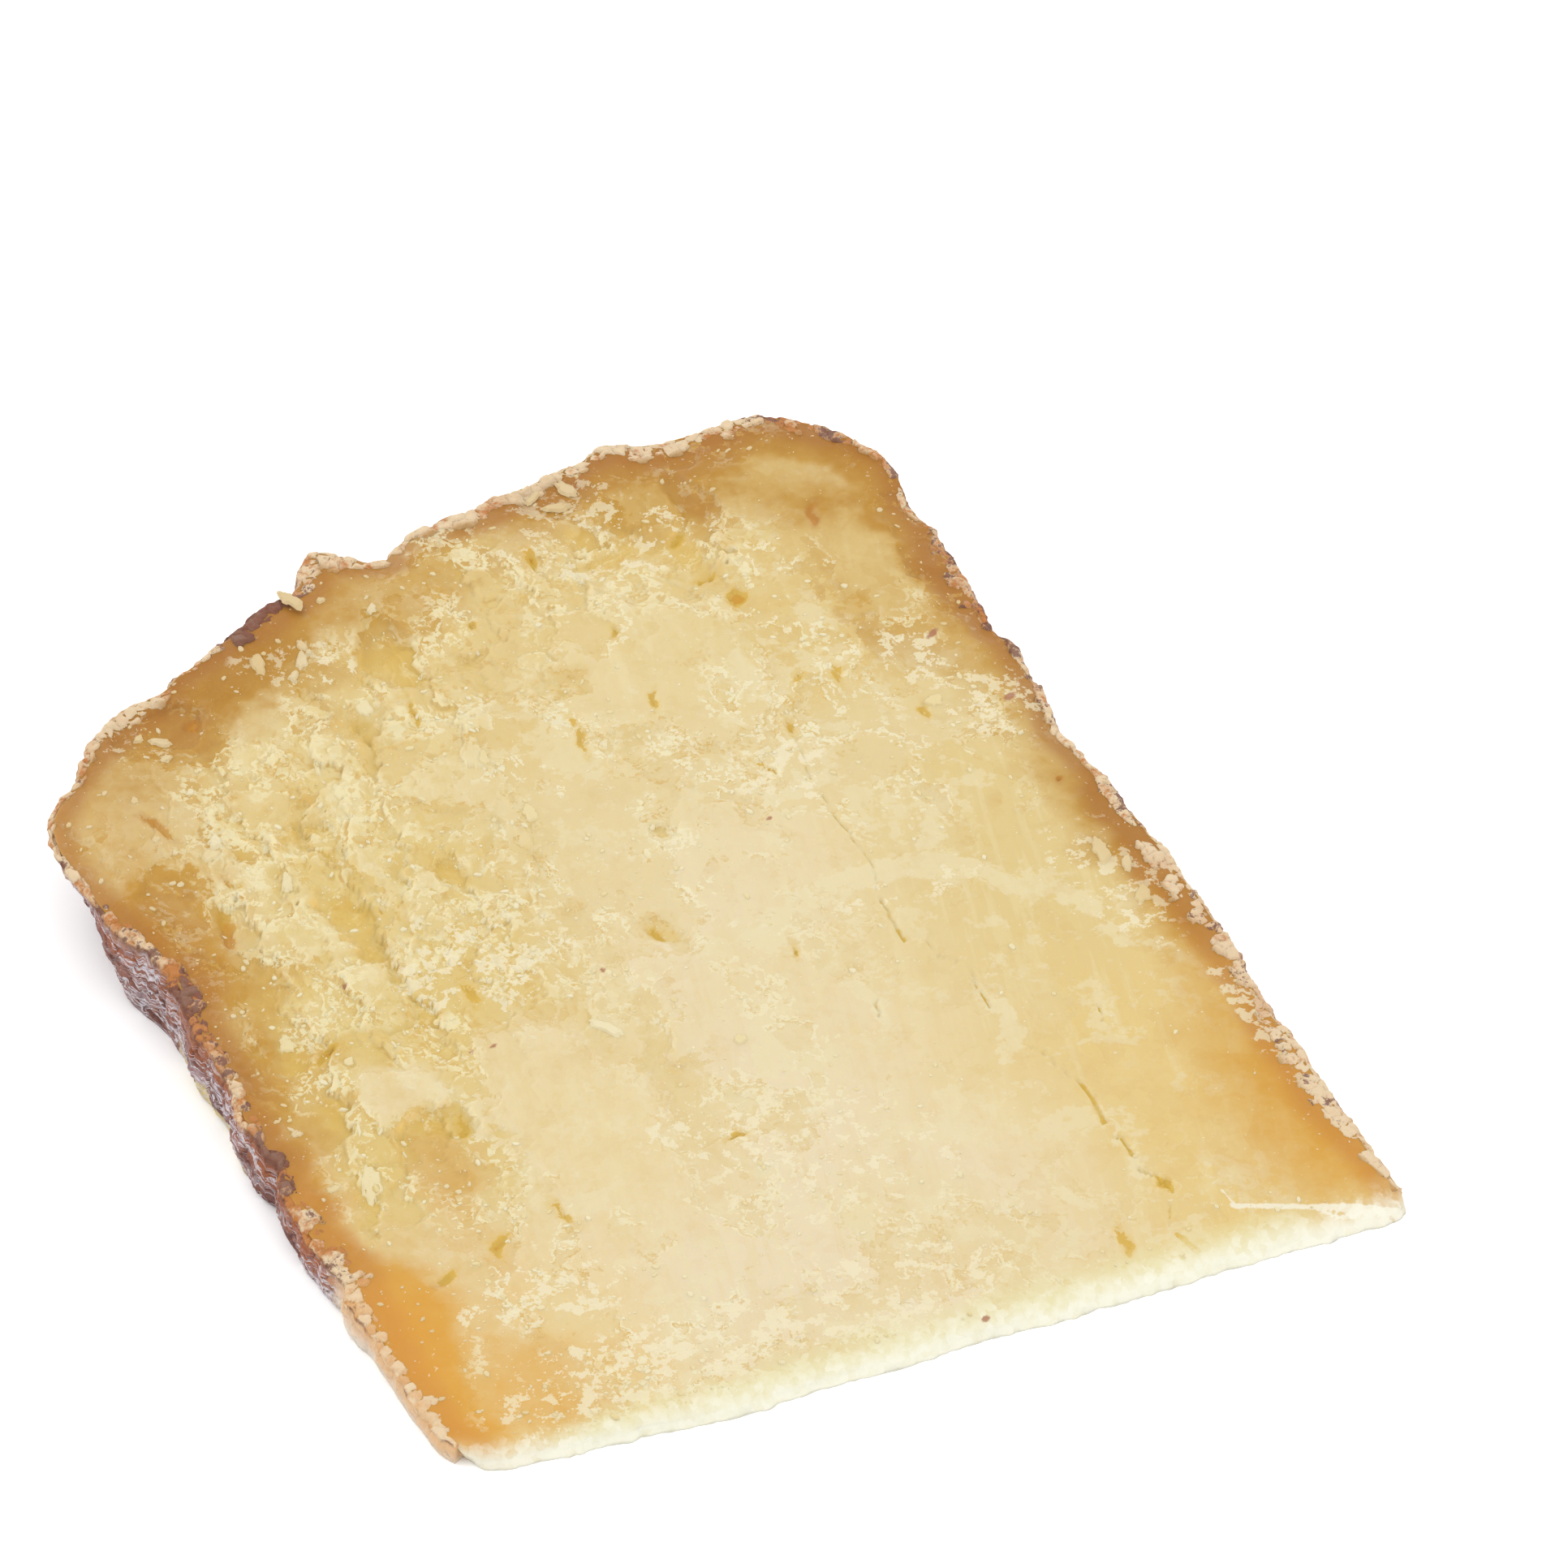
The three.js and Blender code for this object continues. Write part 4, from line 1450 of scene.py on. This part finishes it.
def jostled(tree, vector, scale, reach):
    """Places moved about by noise, so that a mosaic on them gets crooked joints."""
    wander = tree.nodes.new("ShaderNodeTexNoise")
    plug(tree, wander.inputs["Vector"], vector)
    wander.inputs["Scale"].default_value = scale
    node = tree.nodes.new("ShaderNodeVectorMath")
    node.operation = "MULTIPLY_ADD"
    plug(tree, node.inputs[0], wander.outputs["Color"])
    node.inputs[1].default_value = (reach, reach, reach)
    plug(tree, node.inputs[2], vector)
    return node.outputs["Vector"]


paste_material, tree, shader = new_material("paste_finish")
place = object_place(tree)
x, y = x_and_y(tree, place)
broad = noise(tree, place, 45, 3, 0.5)
medium = noise(tree, place, 320, 3, 0.6)
fine = noise(tree, place, 1100, 3, 0.65)
grit = noise(tree, place, 3200, 2, 0.6)
mosaic = grains(tree, jostled(tree, place, 2500, 0.4 * MM), 1500)
lumps = grains(tree, jostled(tree, place, 900, 0.9 * MM), 480)
print("nodes so far:", len(tree.nodes))

# %% [markdown]
# Along the edge of a torn sheet there are three things to draw. The sheet ends in a pale lip,
# beyond it the sheet is gone, and the base of the step gets a painted shadow. The scales of the
# crumbly part have a pale left edge, partly a painted highlight on the side that faces the key
# light, and painted shade at their right, below the next scale.

# %% Lips, and painted shade at the steps of the sheets and scales
def torn_edges():
    """The lips of all sheets, how much has come off, and the painted shadow at the base of each step.
    """
    lips = 0.0
    gone_sum = 0.0
    step_shades = 0.0
    for name, _, step, where in EDGES:
        way = uneven(tree, number(tree, name + "_way"), lumps, 1.8, mosaic, 1.3, fine, 1.2, grit, 0.6)
        share = number(tree, where)
        gone = spread(tree, way, -0.03, 0.03)
        kept = sums(tree, "SUBTRACT", 1.0, gone)
        soft = spread(tree, uneven(tree, way, lumps, 2.0), -1.9, -0.7, 0, 0.3)
        crisp = spread(tree, way, -0.4, -0.3, 0, 0.8)
        lip = times(tree, sums(tree, "ADD", soft, crisp), kept)
        step_shade = times(tree, spread(tree, way, 0.35, 0), gone)
        lips = highest(tree, lips, times(tree, lip, share))
        step_shades = highest(tree, step_shades, times(tree, step_shade, share))
        dropped = times(tree, gone, times(tree, share, step))
        gone_sum = sums(tree, "ADD", gone_sum, dropped)
    return lips, gone_sum, step_shades


def scale_edges(name):
    """The pale left edges of the scales, partly a painted highlight, their painted shade at the right,
    and how the scales lean.
    """
    lean = uneven(tree, number(tree, name + "_lean"), fine, 0.3)
    edge = uneven(tree, number(tree, name + "_edge"), fine, 0.25, grit, 0.15, mosaic, 0.35)
    left = spread(tree, lean, 0.04, -0.04)
    right = sums(tree, "SUBTRACT", 1.0, left)
    soft = spread(tree, edge, 0.5, 0.1, 0, 0.3)
    crisp = spread(tree, edge, 0.16, 0.12, 0, 0.7)
    lip = times(tree, left, sums(tree, "ADD", crisp, soft))
    step_shade = times(tree, right, spread(tree, edge, 0.16, 0.02))
    return lip, step_shade, lean


lips, gone, step_shades = torn_edges()
crumb = number(tree, "crumb")
leans = []
for name, strength in (("slab", 1.0), ("chip", 0.7)):
    lip, step_shade, lean = scale_edges(name)
    share = times(tree, crumb, strength)
    lips = highest(tree, lips, times(tree, lip, share))
    step_shades = highest(tree, step_shades, times(tree, step_shade, share))
    leans.append(lean)
print("nodes so far:", len(tree.nodes))

# %% [markdown]
# The first layer is the face where no sheet has come off. It is pale in front, yellow at the
# right, warmer where it is crumbly, and orange near the left of the tip.

# %% Colour of the whole sheets
pale = spread(tree, uneven(tree, y, broad, 0.05), 0.012, -0.012)
top = tint(tree, pale, seen(232, 214, 168), seen(235, 218, 182))
top = tint(tree, spread(tree, broad, 0.45, 0.65, 0, 0.5), top, seen(231, 211, 160))
top = tint(tree, spread(tree, crumb, 0.25, 1.0, 0, 0.8), top, seen(231, 211, 156))
top = tint(tree, times(tree, number(tree, "whole"), 0.7), top, seen(232, 211, 158))
yellow_right = spread(tree, uneven(tree, x, broad, 0.02), 0.008, 0.030)
top = tint(tree, times(tree, yellow_right, 0.8), top, seen(224, 198, 132))
left_low = times(tree, spread(tree, x, -0.014, -0.028), spread(tree, y, -0.026, -0.042, 0, 0.6))
top = tint(tree, left_low, top, seen(231, 199, 122))
right_front = times(tree, yellow_right, spread(tree, y, -0.010, -0.034))
top = tint(tree, right_front, top, seen(230, 201, 132))
print("nodes so far:", len(tree.nodes))

# %% [markdown]
# The knife drew faint streaks along the slice. Where the face is crumbly they are stronger, the
# scales get a painted shade towards their right, where they dip under the next one, and single
# grains are pale. Slopes that face the key light get a painted highlight everywhere.

# %% Streaks, scales and lit slopes
drawn = noise(tree, stretched(tree, place, -15, (1, 18, 1)), 800, 3, 0.6)
top = tint(tree, spread(tree, drawn, 0.52, 0.66, 0, 0.3), top, seen(237, 222, 174))
top = tint(tree, spread(tree, drawn, 0.48, 0.36, 0, 0.2), top, seen(228, 202, 138))
pulled = uneven(tree, noise(tree, stretched(tree, place, -6, (1, 4, 1)), 420, 4, 0.65), grit, 0.1)
deeper = times(tree, spread(tree, pulled, 0.50, 0.60, 0, 0.5), crumb)
top = tint(tree, deeper, top, seen(226, 199, 126))
paler = times(tree, spread(tree, pulled, 0.48, 0.40, 0, 0.4), crumb)
top = tint(tree, paler, top, seen(236, 220, 170))
# Painted shade towards the right of each scale, where it dips under the next one.
for lean, most in zip(leans, (0.7, 0.4)):
    painted_shade = times(tree, spread(tree, lean, -0.1, 0.55, 0, most), crumb)
    top = tint(tree, painted_shade, top, seen(225, 197, 124))
pale_grain = times(tree, spread(tree, mosaic, 0.72, 0.78, 0, 0.5), crumb)
top = tint(tree, pale_grain, top, seen(238, 224, 180))
away = uneven(tree, number(tree, "away"), fine, 0.3)
# Painted highlight: slopes that face the key light are tinted paler.
top = tint(tree, spread(tree, away, -0.08, -0.5, 0, 0.4), top, seen(238, 223, 176))
print("nodes so far:", len(tree.nodes))

# %% [markdown]
# Floors, where sheets have come off, are yellower, and deepest where several have. Milky clouds
# and streaks lie over floors and sheets alike.

# %% Floors and milky streaks
floor = tint(tree, spread(tree, crumb, 0.0, 0.8), seen(229, 208, 156), seen(222, 192, 114))
floor = tint(tree, spread(tree, y, 0.012, 0.024), floor, seen(224, 196, 130))
colour = tint(tree, spread(tree, gone, 0.0, 0.2, 0, 0.75), top, floor)
colour = tint(tree, spread(tree, gone, 0.45, 1.1, 0, 0.6), colour, seen(219, 181, 94))
cloud = uneven(tree, noise(tree, place, 170, 5, 0.62, 0.3), fine, 0.2, mosaic, 0.12)
streak = uneven(tree, number(tree, "streak_way"), medium, 1.4, mosaic, 1.0, grit, 0.8)
milk = spread(tree, streak, 0.3, -0.1, 0, 0.6)
milk = highest(tree, spread(tree, cloud, 0.545, 0.60, 0, 0.5), milk)
milk = times(tree, milk, spread(tree, crumb, 0.1, 0.8, 1, 0.5))
colour = tint(tree, milk, colour, seen(236, 223, 182))
print("nodes so far:", len(tree.nodes))

# %% [markdown]
# The dry band under the rind is drawn in two tones, and a third just inside the crust. It
# reaches farther in on floors than on sheets that are still whole, which gives it stepped edges.

# %% The dry band
warmth = number(tree, "warmth")
band = number(tree, "band")
share = uneven(tree, band, medium, 0.3, mosaic, 0.14, lumps, 0.2)
between = times(tree, spread(tree, band, 0.02, 0.2), spread(tree, band, 1.3, 0.8))
stepped = times(tree, spread(tree, gone, 0.05, 0.3, -0.22, 0.25), between)
share = sums(tree, "ADD", share, times(tree, stepped, spread(tree, warmth, 0.5, 0.2)))
tan = tint(tree, warmth, seen(196, 150, 60), seen(224, 168, 66))
colour = tint(tree, sums(tree, "MINIMUM", share, 0.95), colour, tan)
browner = tint(tree, warmth, seen(179, 126, 42), seen(223, 160, 62))
colour = tint(tree, spread(tree, uneven(tree, band, medium, 0.9), 0.7, 1.5, 0, 0.9), colour, browner)
deep = times(tree, spread(tree, gone, 0.1, 0.35, 0, 0.5), spread(tree, band, 0.5, 1.2))
colour = tint(tree, deep, colour, seen(184, 132, 62))
close = spread(tree, uneven(tree, number(tree, "crust_way"), medium, 1.6), 2.4, 0.2, 0, 0.75)
close = times(tree, close, spread(tree, band, 0.1, 0.6))
colour = tint(tree, close, colour, tint(tree, warmth, seen(172, 112, 46), seen(214, 148, 60)))
print("nodes so far:", len(tree.nodes))

# %% [markdown]
# The lips come and go along an edge, and fade in the dry band and on slopes in shade. The steps
# get a painted shadow at their base. Slopes that face away from the key light get a painted deep
# yellow shade, for the light that reaches them through the cheese.

# %% Lips, painted step shadows and painted shade on slopes
presence = spread(tree, noise(tree, place, 190, 3, 0.5), 0.42, 0.56)
lip_amount = times(tree, spread(tree, lips, 0.1, 0.75, 0, 0.85), presence)
lip_amount = times(tree, lip_amount, spread(tree, band, 0.3, 1.0, 1, 0.25))
lip_amount = times(tree, lip_amount, spread(tree, away, 0.25, 0.05))
colour = tint(tree, lip_amount, colour, tint(tree, crumb, seen(241, 231, 194), seen(240, 227, 181)))
# Painted shadow at the base of the sheets' steps and at the right of the scales.
step_shade_amount = times(tree, step_shades, spread(tree, medium, 0.46, 0.54, 0, 0.7))
colour = tint(tree, step_shade_amount, colour, seen(216, 176, 92))
# Painted shade on slopes that face away from the key light, strongest on steep ones, not in the dry
# band.
outside_band = spread(tree, band, 0.8, 0.2)
painted_shade = times(tree, spread(tree, away, 0.06, 0.6, 0, 0.6), outside_band)
colour = tint(tree, painted_shade, colour, seen(236, 202, 122))
steep_painted_shade = times(tree, spread(tree, away, 0.3, 0.8), outside_band)
colour = tint(tree, steep_painted_shade, colour, seen(250, 206, 110))
print("nodes so far:", len(tree.nodes))

# %% [markdown]
# Fine whitish crumbs cling to the face in clusters. Hollows, pits and cracks get a painted deep
# yellow shade, for the light that has gone through more cheese there, and a painted brown shade in
# the dry band.

# %% Crumbs, hollows, pits and cracks
crumbs = number(tree, "crumbs")
dust = uneven(tree, noise(tree, place, 560, 4, 0.7), mosaic, 0.12, grit, 0.1)
dust = sums(tree, "ADD", dust, times(tree, crumbs, 0.12))
dust = times(tree, spread(tree, dust, 0.60, 0.63, 0, 0.75), spread(tree, crumbs, 0.03, 0.3))
dust = times(tree, dust, spread(tree, band, 0.3, 1.2, 1, 0.6))
colour = tint(tree, dust, colour, seen(242, 231, 196))
in_band = spread(tree, band, 0.3, 0.9)
# Painted shade: hollows and pits are tinted deep yellow, and brown in the dry band.
hollow = uneven(tree, number(tree, "hollow"), fine, 0.3, medium, 0.5)
hollow_shade_tone = tint(tree, in_band, seen(224, 188, 96), seen(182, 130, 64))
colour = tint(tree, spread(tree, hollow, 0.2, 0.5, 0, 0.5), colour, hollow_shade_tone)
pit_way = uneven(tree, number(tree, "pit_way"), fine, 0.9, grit, 0.3)
colour = tint(tree, spread(tree, pit_way, 0.35, 0.0, 0, 0.35), colour, hollow_shade_tone)
pit_shade_tone = tint(tree, in_band, seen(219, 178, 74), seen(196, 134, 50))
colour = tint(tree, spread(tree, pit_way, 0.02, -0.06, 0, 0.85), colour, pit_shade_tone)
colour = tint(tree, spread(tree, pit_way, -0.25, -0.5, 0, 0.8), colour, seen(208, 150, 46))
# Painted shade in the cracks.
crack = spread(tree, uneven(tree, number(tree, "crack_way"), fine, 0.35), 0.08, 0.0, 0, 0.9)
crack = times(tree, crack, spread(tree, medium, 0.38, 0.5, 0.3, 1))
colour = tint(tree, crack, colour, seen(224, 184, 76))
print("nodes so far:", len(tree.nodes))

# %% [markdown]
# The thin front gets a painted wash of light: greenish white, and a painted near white glare at
# the very edge. The broken corner at its right begins with a white ridge. A few reddish specks and
# tiny white ones come last.

# %% The thin front and the specks
front = number(tree, "front")
painted_wash = spread(tree, uneven(tree, front, medium, 3.0), 5.4, 0.4, 0, 0.8)
painted_wash = times(tree, painted_wash, spread(tree, band, 0.2, 0.6, 1, 0.45))
colour = tint(tree, painted_wash, colour, seen(233, 227, 176))
facet = spread(tree, uneven(tree, number(tree, "facet"), fine, 0.2), 0.02, 0.3, 0, 0.8)
facet = times(tree, facet, spread(tree, x, 0.024, 0.034, 0.3, 1))
colour = tint(tree, facet, colour, seen(240, 234, 204))
ridge = uneven(tree, number(tree, "ridge_way"), fine, 0.5, grit, 0.3)
colour = tint(tree, spread(tree, ridge, 0.1, -0.05, 0, 0.85), colour, seen(245, 238, 214))
# Painted glare: the very edge of the thin front is nearly white.
edge = uneven(tree, front, fine, 2.4, mosaic, 1.6)
colour = tint(tree, spread(tree, edge, 3.4, -0.6, 0, 0.92), colour, seen(254, 252, 234))
speck = spread(tree, uneven(tree, number(tree, "speck_way"), fine, 0.3), 0.02, -0.15, 0, 0.85)
colour = tint(tree, speck, colour, seen(176, 116, 86))
sparkle = sums(tree, "ADD", noise(tree, place, 2600, 2, 0.4), times(tree, crumbs, 0.03))
colour = tint(tree, spread(tree, sparkle, 0.72, 0.77, 0, 0.5), colour, seen(243, 234, 208))
print("nodes so far:", len(tree.nodes))

# %% [markdown]
# A little subsurface light makes the cheese look like fat and protein rather than plaster. The
# thin front gets none, because the light would go right through it. Two bumps add what the mesh
# is too coarse for: the grain of the paste, and the steps at the edges of the sheets.

# %% Shine, depth and bumps of the paste
plug(tree, shader.inputs["Base Color"], colour)
plug(tree, shader.inputs["Roughness"], spread(tree, medium, 0.3, 0.7, 0.40, 0.60))
shader.inputs["Specular IOR Level"].default_value = 0.3
plug(tree, shader.inputs["Subsurface Weight"], spread(tree, front, 1.5, 6.0, 0.0, 0.4))
shader.inputs["Subsurface Radius"].default_value = (1.0, 0.62, 0.26)
shader.inputs["Subsurface Scale"].default_value = 1.2 * MM
normal = bump(tree, fine, 0.06 * MM, 0.6)
plug(tree, shader.inputs["Normal"], bump(tree, gone, -0.5 * MM, 0.35, normal))
paste.data.materials.append(paste_material)
print("nodes of the paste's finish:", len(tree.nodes))

# %% [markdown]
# The rind is a crust of cream and tan grains where it was cut, with dark skin among them and a
# dark line along its outer edge. Near the tip at the left it fades to peach.

# %% The crust on the cut face
rind_material, tree, shader = new_material("rind_finish")
place = object_place(tree)
x, y = x_and_y(tree, place)
medium = noise(tree, place, 420, 5, 0.65)
fine = noise(tree, place, 1500, 4, 0.7)
broad = noise(tree, place, 140, 3, 0.5)
grain = uneven(tree, number(tree, "grain"), fine, 0.9)
gap = number(tree, "gap")
left = spread(tree, x, 0.0, -0.01)
creamy = uneven(tree, medium, fine, 0.6, grain, 0.25)
creamy = sums(tree, "ADD", creamy, times(tree, number(tree, "cream"), 0.3))
crust = tint(tree, spread(tree, creamy, 0.42, 0.72), seen(198, 130, 70), seen(236, 211, 174))
crust = tint(tree, spread(tree, broad, 0.5, 0.66, 0, 0.4), crust, seen(206, 148, 100))
crust = tint(tree, spread(tree, gap, 0.5, 1.0, 0, 0.35), crust, seen(176, 118, 68))
inner = spread(tree, uneven(tree, number(tree, "inner"), medium, 0.8), 0.75, 1.15, 0, 0.8)
crust = tint(tree, inner, crust, seen(194, 150, 88))
peach = spread(tree, uneven(tree, y, medium, 0.006), -0.028, -0.033, 0, 0.8)
peach_tone = tint(tree, spread(tree, grain, 0.2, 0.9), seen(226, 172, 112), seen(240, 214, 176))
crust = tint(tree, times(tree, peach, left), crust, peach_tone)
dark = number(tree, "dark")
darker = sums(tree, "ADD", uneven(tree, medium, fine, 0.6), times(tree, dark, 0.22))
crust = tint(tree, spread(tree, darker, 0.66, 0.74, 0, 0.85), crust, seen(124, 80, 72))
line = uneven(tree, number(tree, "outer"), medium, 1.4)
line = sums(tree, "ADD", line, times(tree, dark, 0.25))
crust = tint(tree, spread(tree, line, 0.95, 1.25, 0, 0.8), crust, seen(126, 82, 66))
print("nodes so far:", len(tree.nodes))

# %% [markdown]
# The wall is purple brown skin with rusty patches near the rim. At one place on the left a chip
# is off and pale paste shows. Threads and patches of white mould run along the wall, drawn by
# noise on the distances along it and down it. Near the tip the wall is peach, and lower down it
# pales to cream under a painted wash of light.

# %% The wall of the rind
down = number(tree, "down")
skin = tint(tree, spread(tree, medium, 0.35, 0.65), seen(116, 78, 74), seen(160, 114, 102))
rusty = spread(tree, uneven(tree, down, broad, 4.0, medium, 3.0), 2.6, 1.0, 0.1, 0.85)
skin = tint(tree, rusty, skin, seen(172, 104, 70))
skin = tint(tree, spread(tree, gap, 0.2, 0.9, 0, 0.5), skin, seen(92, 58, 56))
chip_place = times(tree, spread(tree, y, -0.012, -0.009), spread(tree, y, 0.006, 0.003))
chip = times(tree, chip_place, spread(tree, uneven(tree, down, medium, 3.0), 3.6, 4.1))
skin = tint(tree, times(tree, chip, left), skin, seen(230, 208, 150))
threads = tree.nodes.new("ShaderNodeCombineXYZ")
plug(tree, threads.inputs[0], times(tree, number(tree, "along"), 0.16))
plug(tree, threads.inputs[1], down)
web = noise(tree, threads.outputs[0], 1.3, 5, 0.62, 1.2)
clumps = noise(tree, threads.outputs[0], 0.55, 3, 0.6)
mould = spread(tree, uneven(tree, clumps, fine, 0.3), 0.5, 0.66, 0, 0.65)
skin = tint(tree, mould, skin, seen(192, 178, 186))
hair = spread(tree, sums(tree, "ABSOLUTE", sums(tree, "SUBTRACT", web, 0.5), 0), 0.05, 0.01, 0, 0.95)
hair = times(tree, hair, spread(tree, clumps, 0.36, 0.52, 0.2, 1))
skin = tint(tree, hair, skin, seen(230, 224, 230))
# Near the tip: peach wall, paling lower down under a painted wash of light.
peach_wall_with_painted_wash = tint(tree, spread(tree, down, 0.2, 2.4), seen(238, 196, 148), seen(246, 232, 214))
near_tip = spread(tree, uneven(tree, y, medium, 0.006), -0.027, -0.031, 0, 0.95)
skin = tint(tree, near_tip, skin, peach_wall_with_painted_wash)
print("nodes so far:", len(tree.nodes))

# %% [markdown]
# One number says which part of the strip is the wall, and so joins the two. The rind is drier
# than the paste, so it is duller and lets less light in.

# %% Shine, depth and bumps of the rind
plug(tree, shader.inputs["Base Color"], tint(tree, number(tree, "wall"), crust, skin))
plug(tree, shader.inputs["Roughness"], spread(tree, medium, 0.3, 0.7, 0.55, 0.85))
shader.inputs["Specular IOR Level"].default_value = 0.3
shader.inputs["Subsurface Weight"].default_value = 0.2
shader.inputs["Subsurface Radius"].default_value = (1.0, 0.5, 0.25)
shader.inputs["Subsurface Scale"].default_value = 0.5 * MM
normal = bump(tree, fine, 0.2 * MM, 0.9)
plug(tree, shader.inputs["Normal"], bump(tree, medium, 0.4 * MM, 0.7, normal))
rind.data.materials.append(rind_material)
print("nodes of the rind's finish:", len(tree.nodes))

# %% [markdown]
# The flakes are drier than the paste and nearly white. Each has its own tone, from buttery to
# chalky, which was stored when it was laid, and those on the dry band are a little browned. They
# are so thin that light comes through them from all sides. A share of their light is therefore a
# painted glow that the flakes give off themselves, which keeps their edges from going grey.

# %% Finish of the flakes
PAINTED_GLOW_SHARE = 0.4

flake_material, tree, shader = new_material("flake_finish")
mottle = noise(tree, object_place(tree), 1500, 3, 0.6)
tone = uneven(tree, number(tree, "tone"), mottle, 0.8)
colour = tint(tree, tone, seen(233, 214, 160), seen(240, 229, 192))
browned = spread(tree, number(tree, "band"), 0.2, 1.1, 0, 0.6)
colour = tint(tree, browned, colour, seen(214, 180, 128))
# Painted glow: a share of the colour is given off as light instead of reflected.
plug(tree, shader.inputs["Base Color"], tint(tree, PAINTED_GLOW_SHARE, colour, (0, 0, 0, 1)))
plug(tree, shader.inputs["Emission Color"], colour)
shader.inputs["Emission Strength"].default_value = PAINTED_GLOW_SHARE * STUDIO_BRIGHTNESS
shader.inputs["Roughness"].default_value = 0.6
shader.inputs["Specular IOR Level"].default_value = 0.3
flakes.data.materials.append(flake_material)
print("nodes of the flakes' finish:", len(tree.nodes))

# %% [markdown]
# The camera looks down on the slice by 36 degrees from its left front, through a long lens, so
# its edges stay nearly parallel. It aims at a point on the floor under the slice.

# %% Camera
CAMERA_PLACE = (-294.55, -586.62, 530.61)
CAMERA_AIM = (21.01, 72.0, 0.0)
FOCAL_LENGTH = 251.55

lens = bpy.data.cameras.new("camera")
lens.lens = FOCAL_LENGTH
lens.sensor_width = 36
lens.clip_start = 0.05
lens.clip_end = 20
camera = bpy.data.objects.new("camera", lens)
camera.location = to_frame(*CAMERA_PLACE)
camera.rotation_euler = (to_frame(*CAMERA_AIM) - camera.location).to_track_quat("-Z", "Y").to_euler()
bpy.context.scene.collection.objects.link(camera)
bpy.context.scene.camera = camera
print("camera distance, m:", round((to_frame(*CAMERA_AIM) - camera.location).length, 3))

# %% [markdown]
# A plain white floor and large soft lights, as in a product photograph. The key light stands
# behind the slice at its left, and the other two fill the shadows from the front. Each lamp
# points at the middle of the slice.

# %% Floor and lights
def make_floor():
    bm = bmesh.new()
    bmesh.ops.create_grid(bm, x_segments=1, y_segments=1, size=3)
    floor = link_bmesh(bm, "floor")
    material, _, shader = new_material("floor_finish")
    shader.inputs["Base Color"].default_value = (0.95, 0.95, 0.95, 1)
    shader.inputs["Roughness"].default_value = 0.9
    shader.inputs["Specular IOR Level"].default_value = 0.1
    floor.data.materials.append(material)


def soft_light(name, place, size, power):
    light = bpy.data.lights.new(name, "AREA")
    light.shape = "SQUARE"
    light.size = size
    light.energy = power
    lamp = bpy.data.objects.new(name, light)
    lamp.location = place
    lamp.rotation_euler = (-Vector(place)).to_track_quat("-Z", "Y").to_euler()
    bpy.context.scene.collection.objects.link(lamp)


make_floor()
soft_light("key_light", (-0.5, 0.7, 1.2), 1.0, 6.0)
soft_light("fill_light", (0.8, -0.5, 1.0), 1.0, 3.0)
soft_light("front_light", (-0.3, -1.2, 0.5), 0.8, 1.5)
world = bpy.data.worlds.new("studio")
world.use_nodes = True
world.node_tree.nodes["Background"].inputs["Color"].default_value = (1, 1, 1, 1)
world.node_tree.nodes["Background"].inputs["Strength"].default_value = 1.2
bpy.context.scene.world = world
bpy.context.scene.view_settings.view_transform = "Standard"
print("lights:", len(bpy.data.lights))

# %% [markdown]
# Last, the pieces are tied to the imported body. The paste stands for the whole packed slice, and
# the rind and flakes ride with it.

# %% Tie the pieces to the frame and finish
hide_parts("cheese_slice")
for piece, finish in ((paste, "cheese_paste"), (rind, "cheese_rind"), (flakes, "cheese_paste")):
    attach(piece, "root")
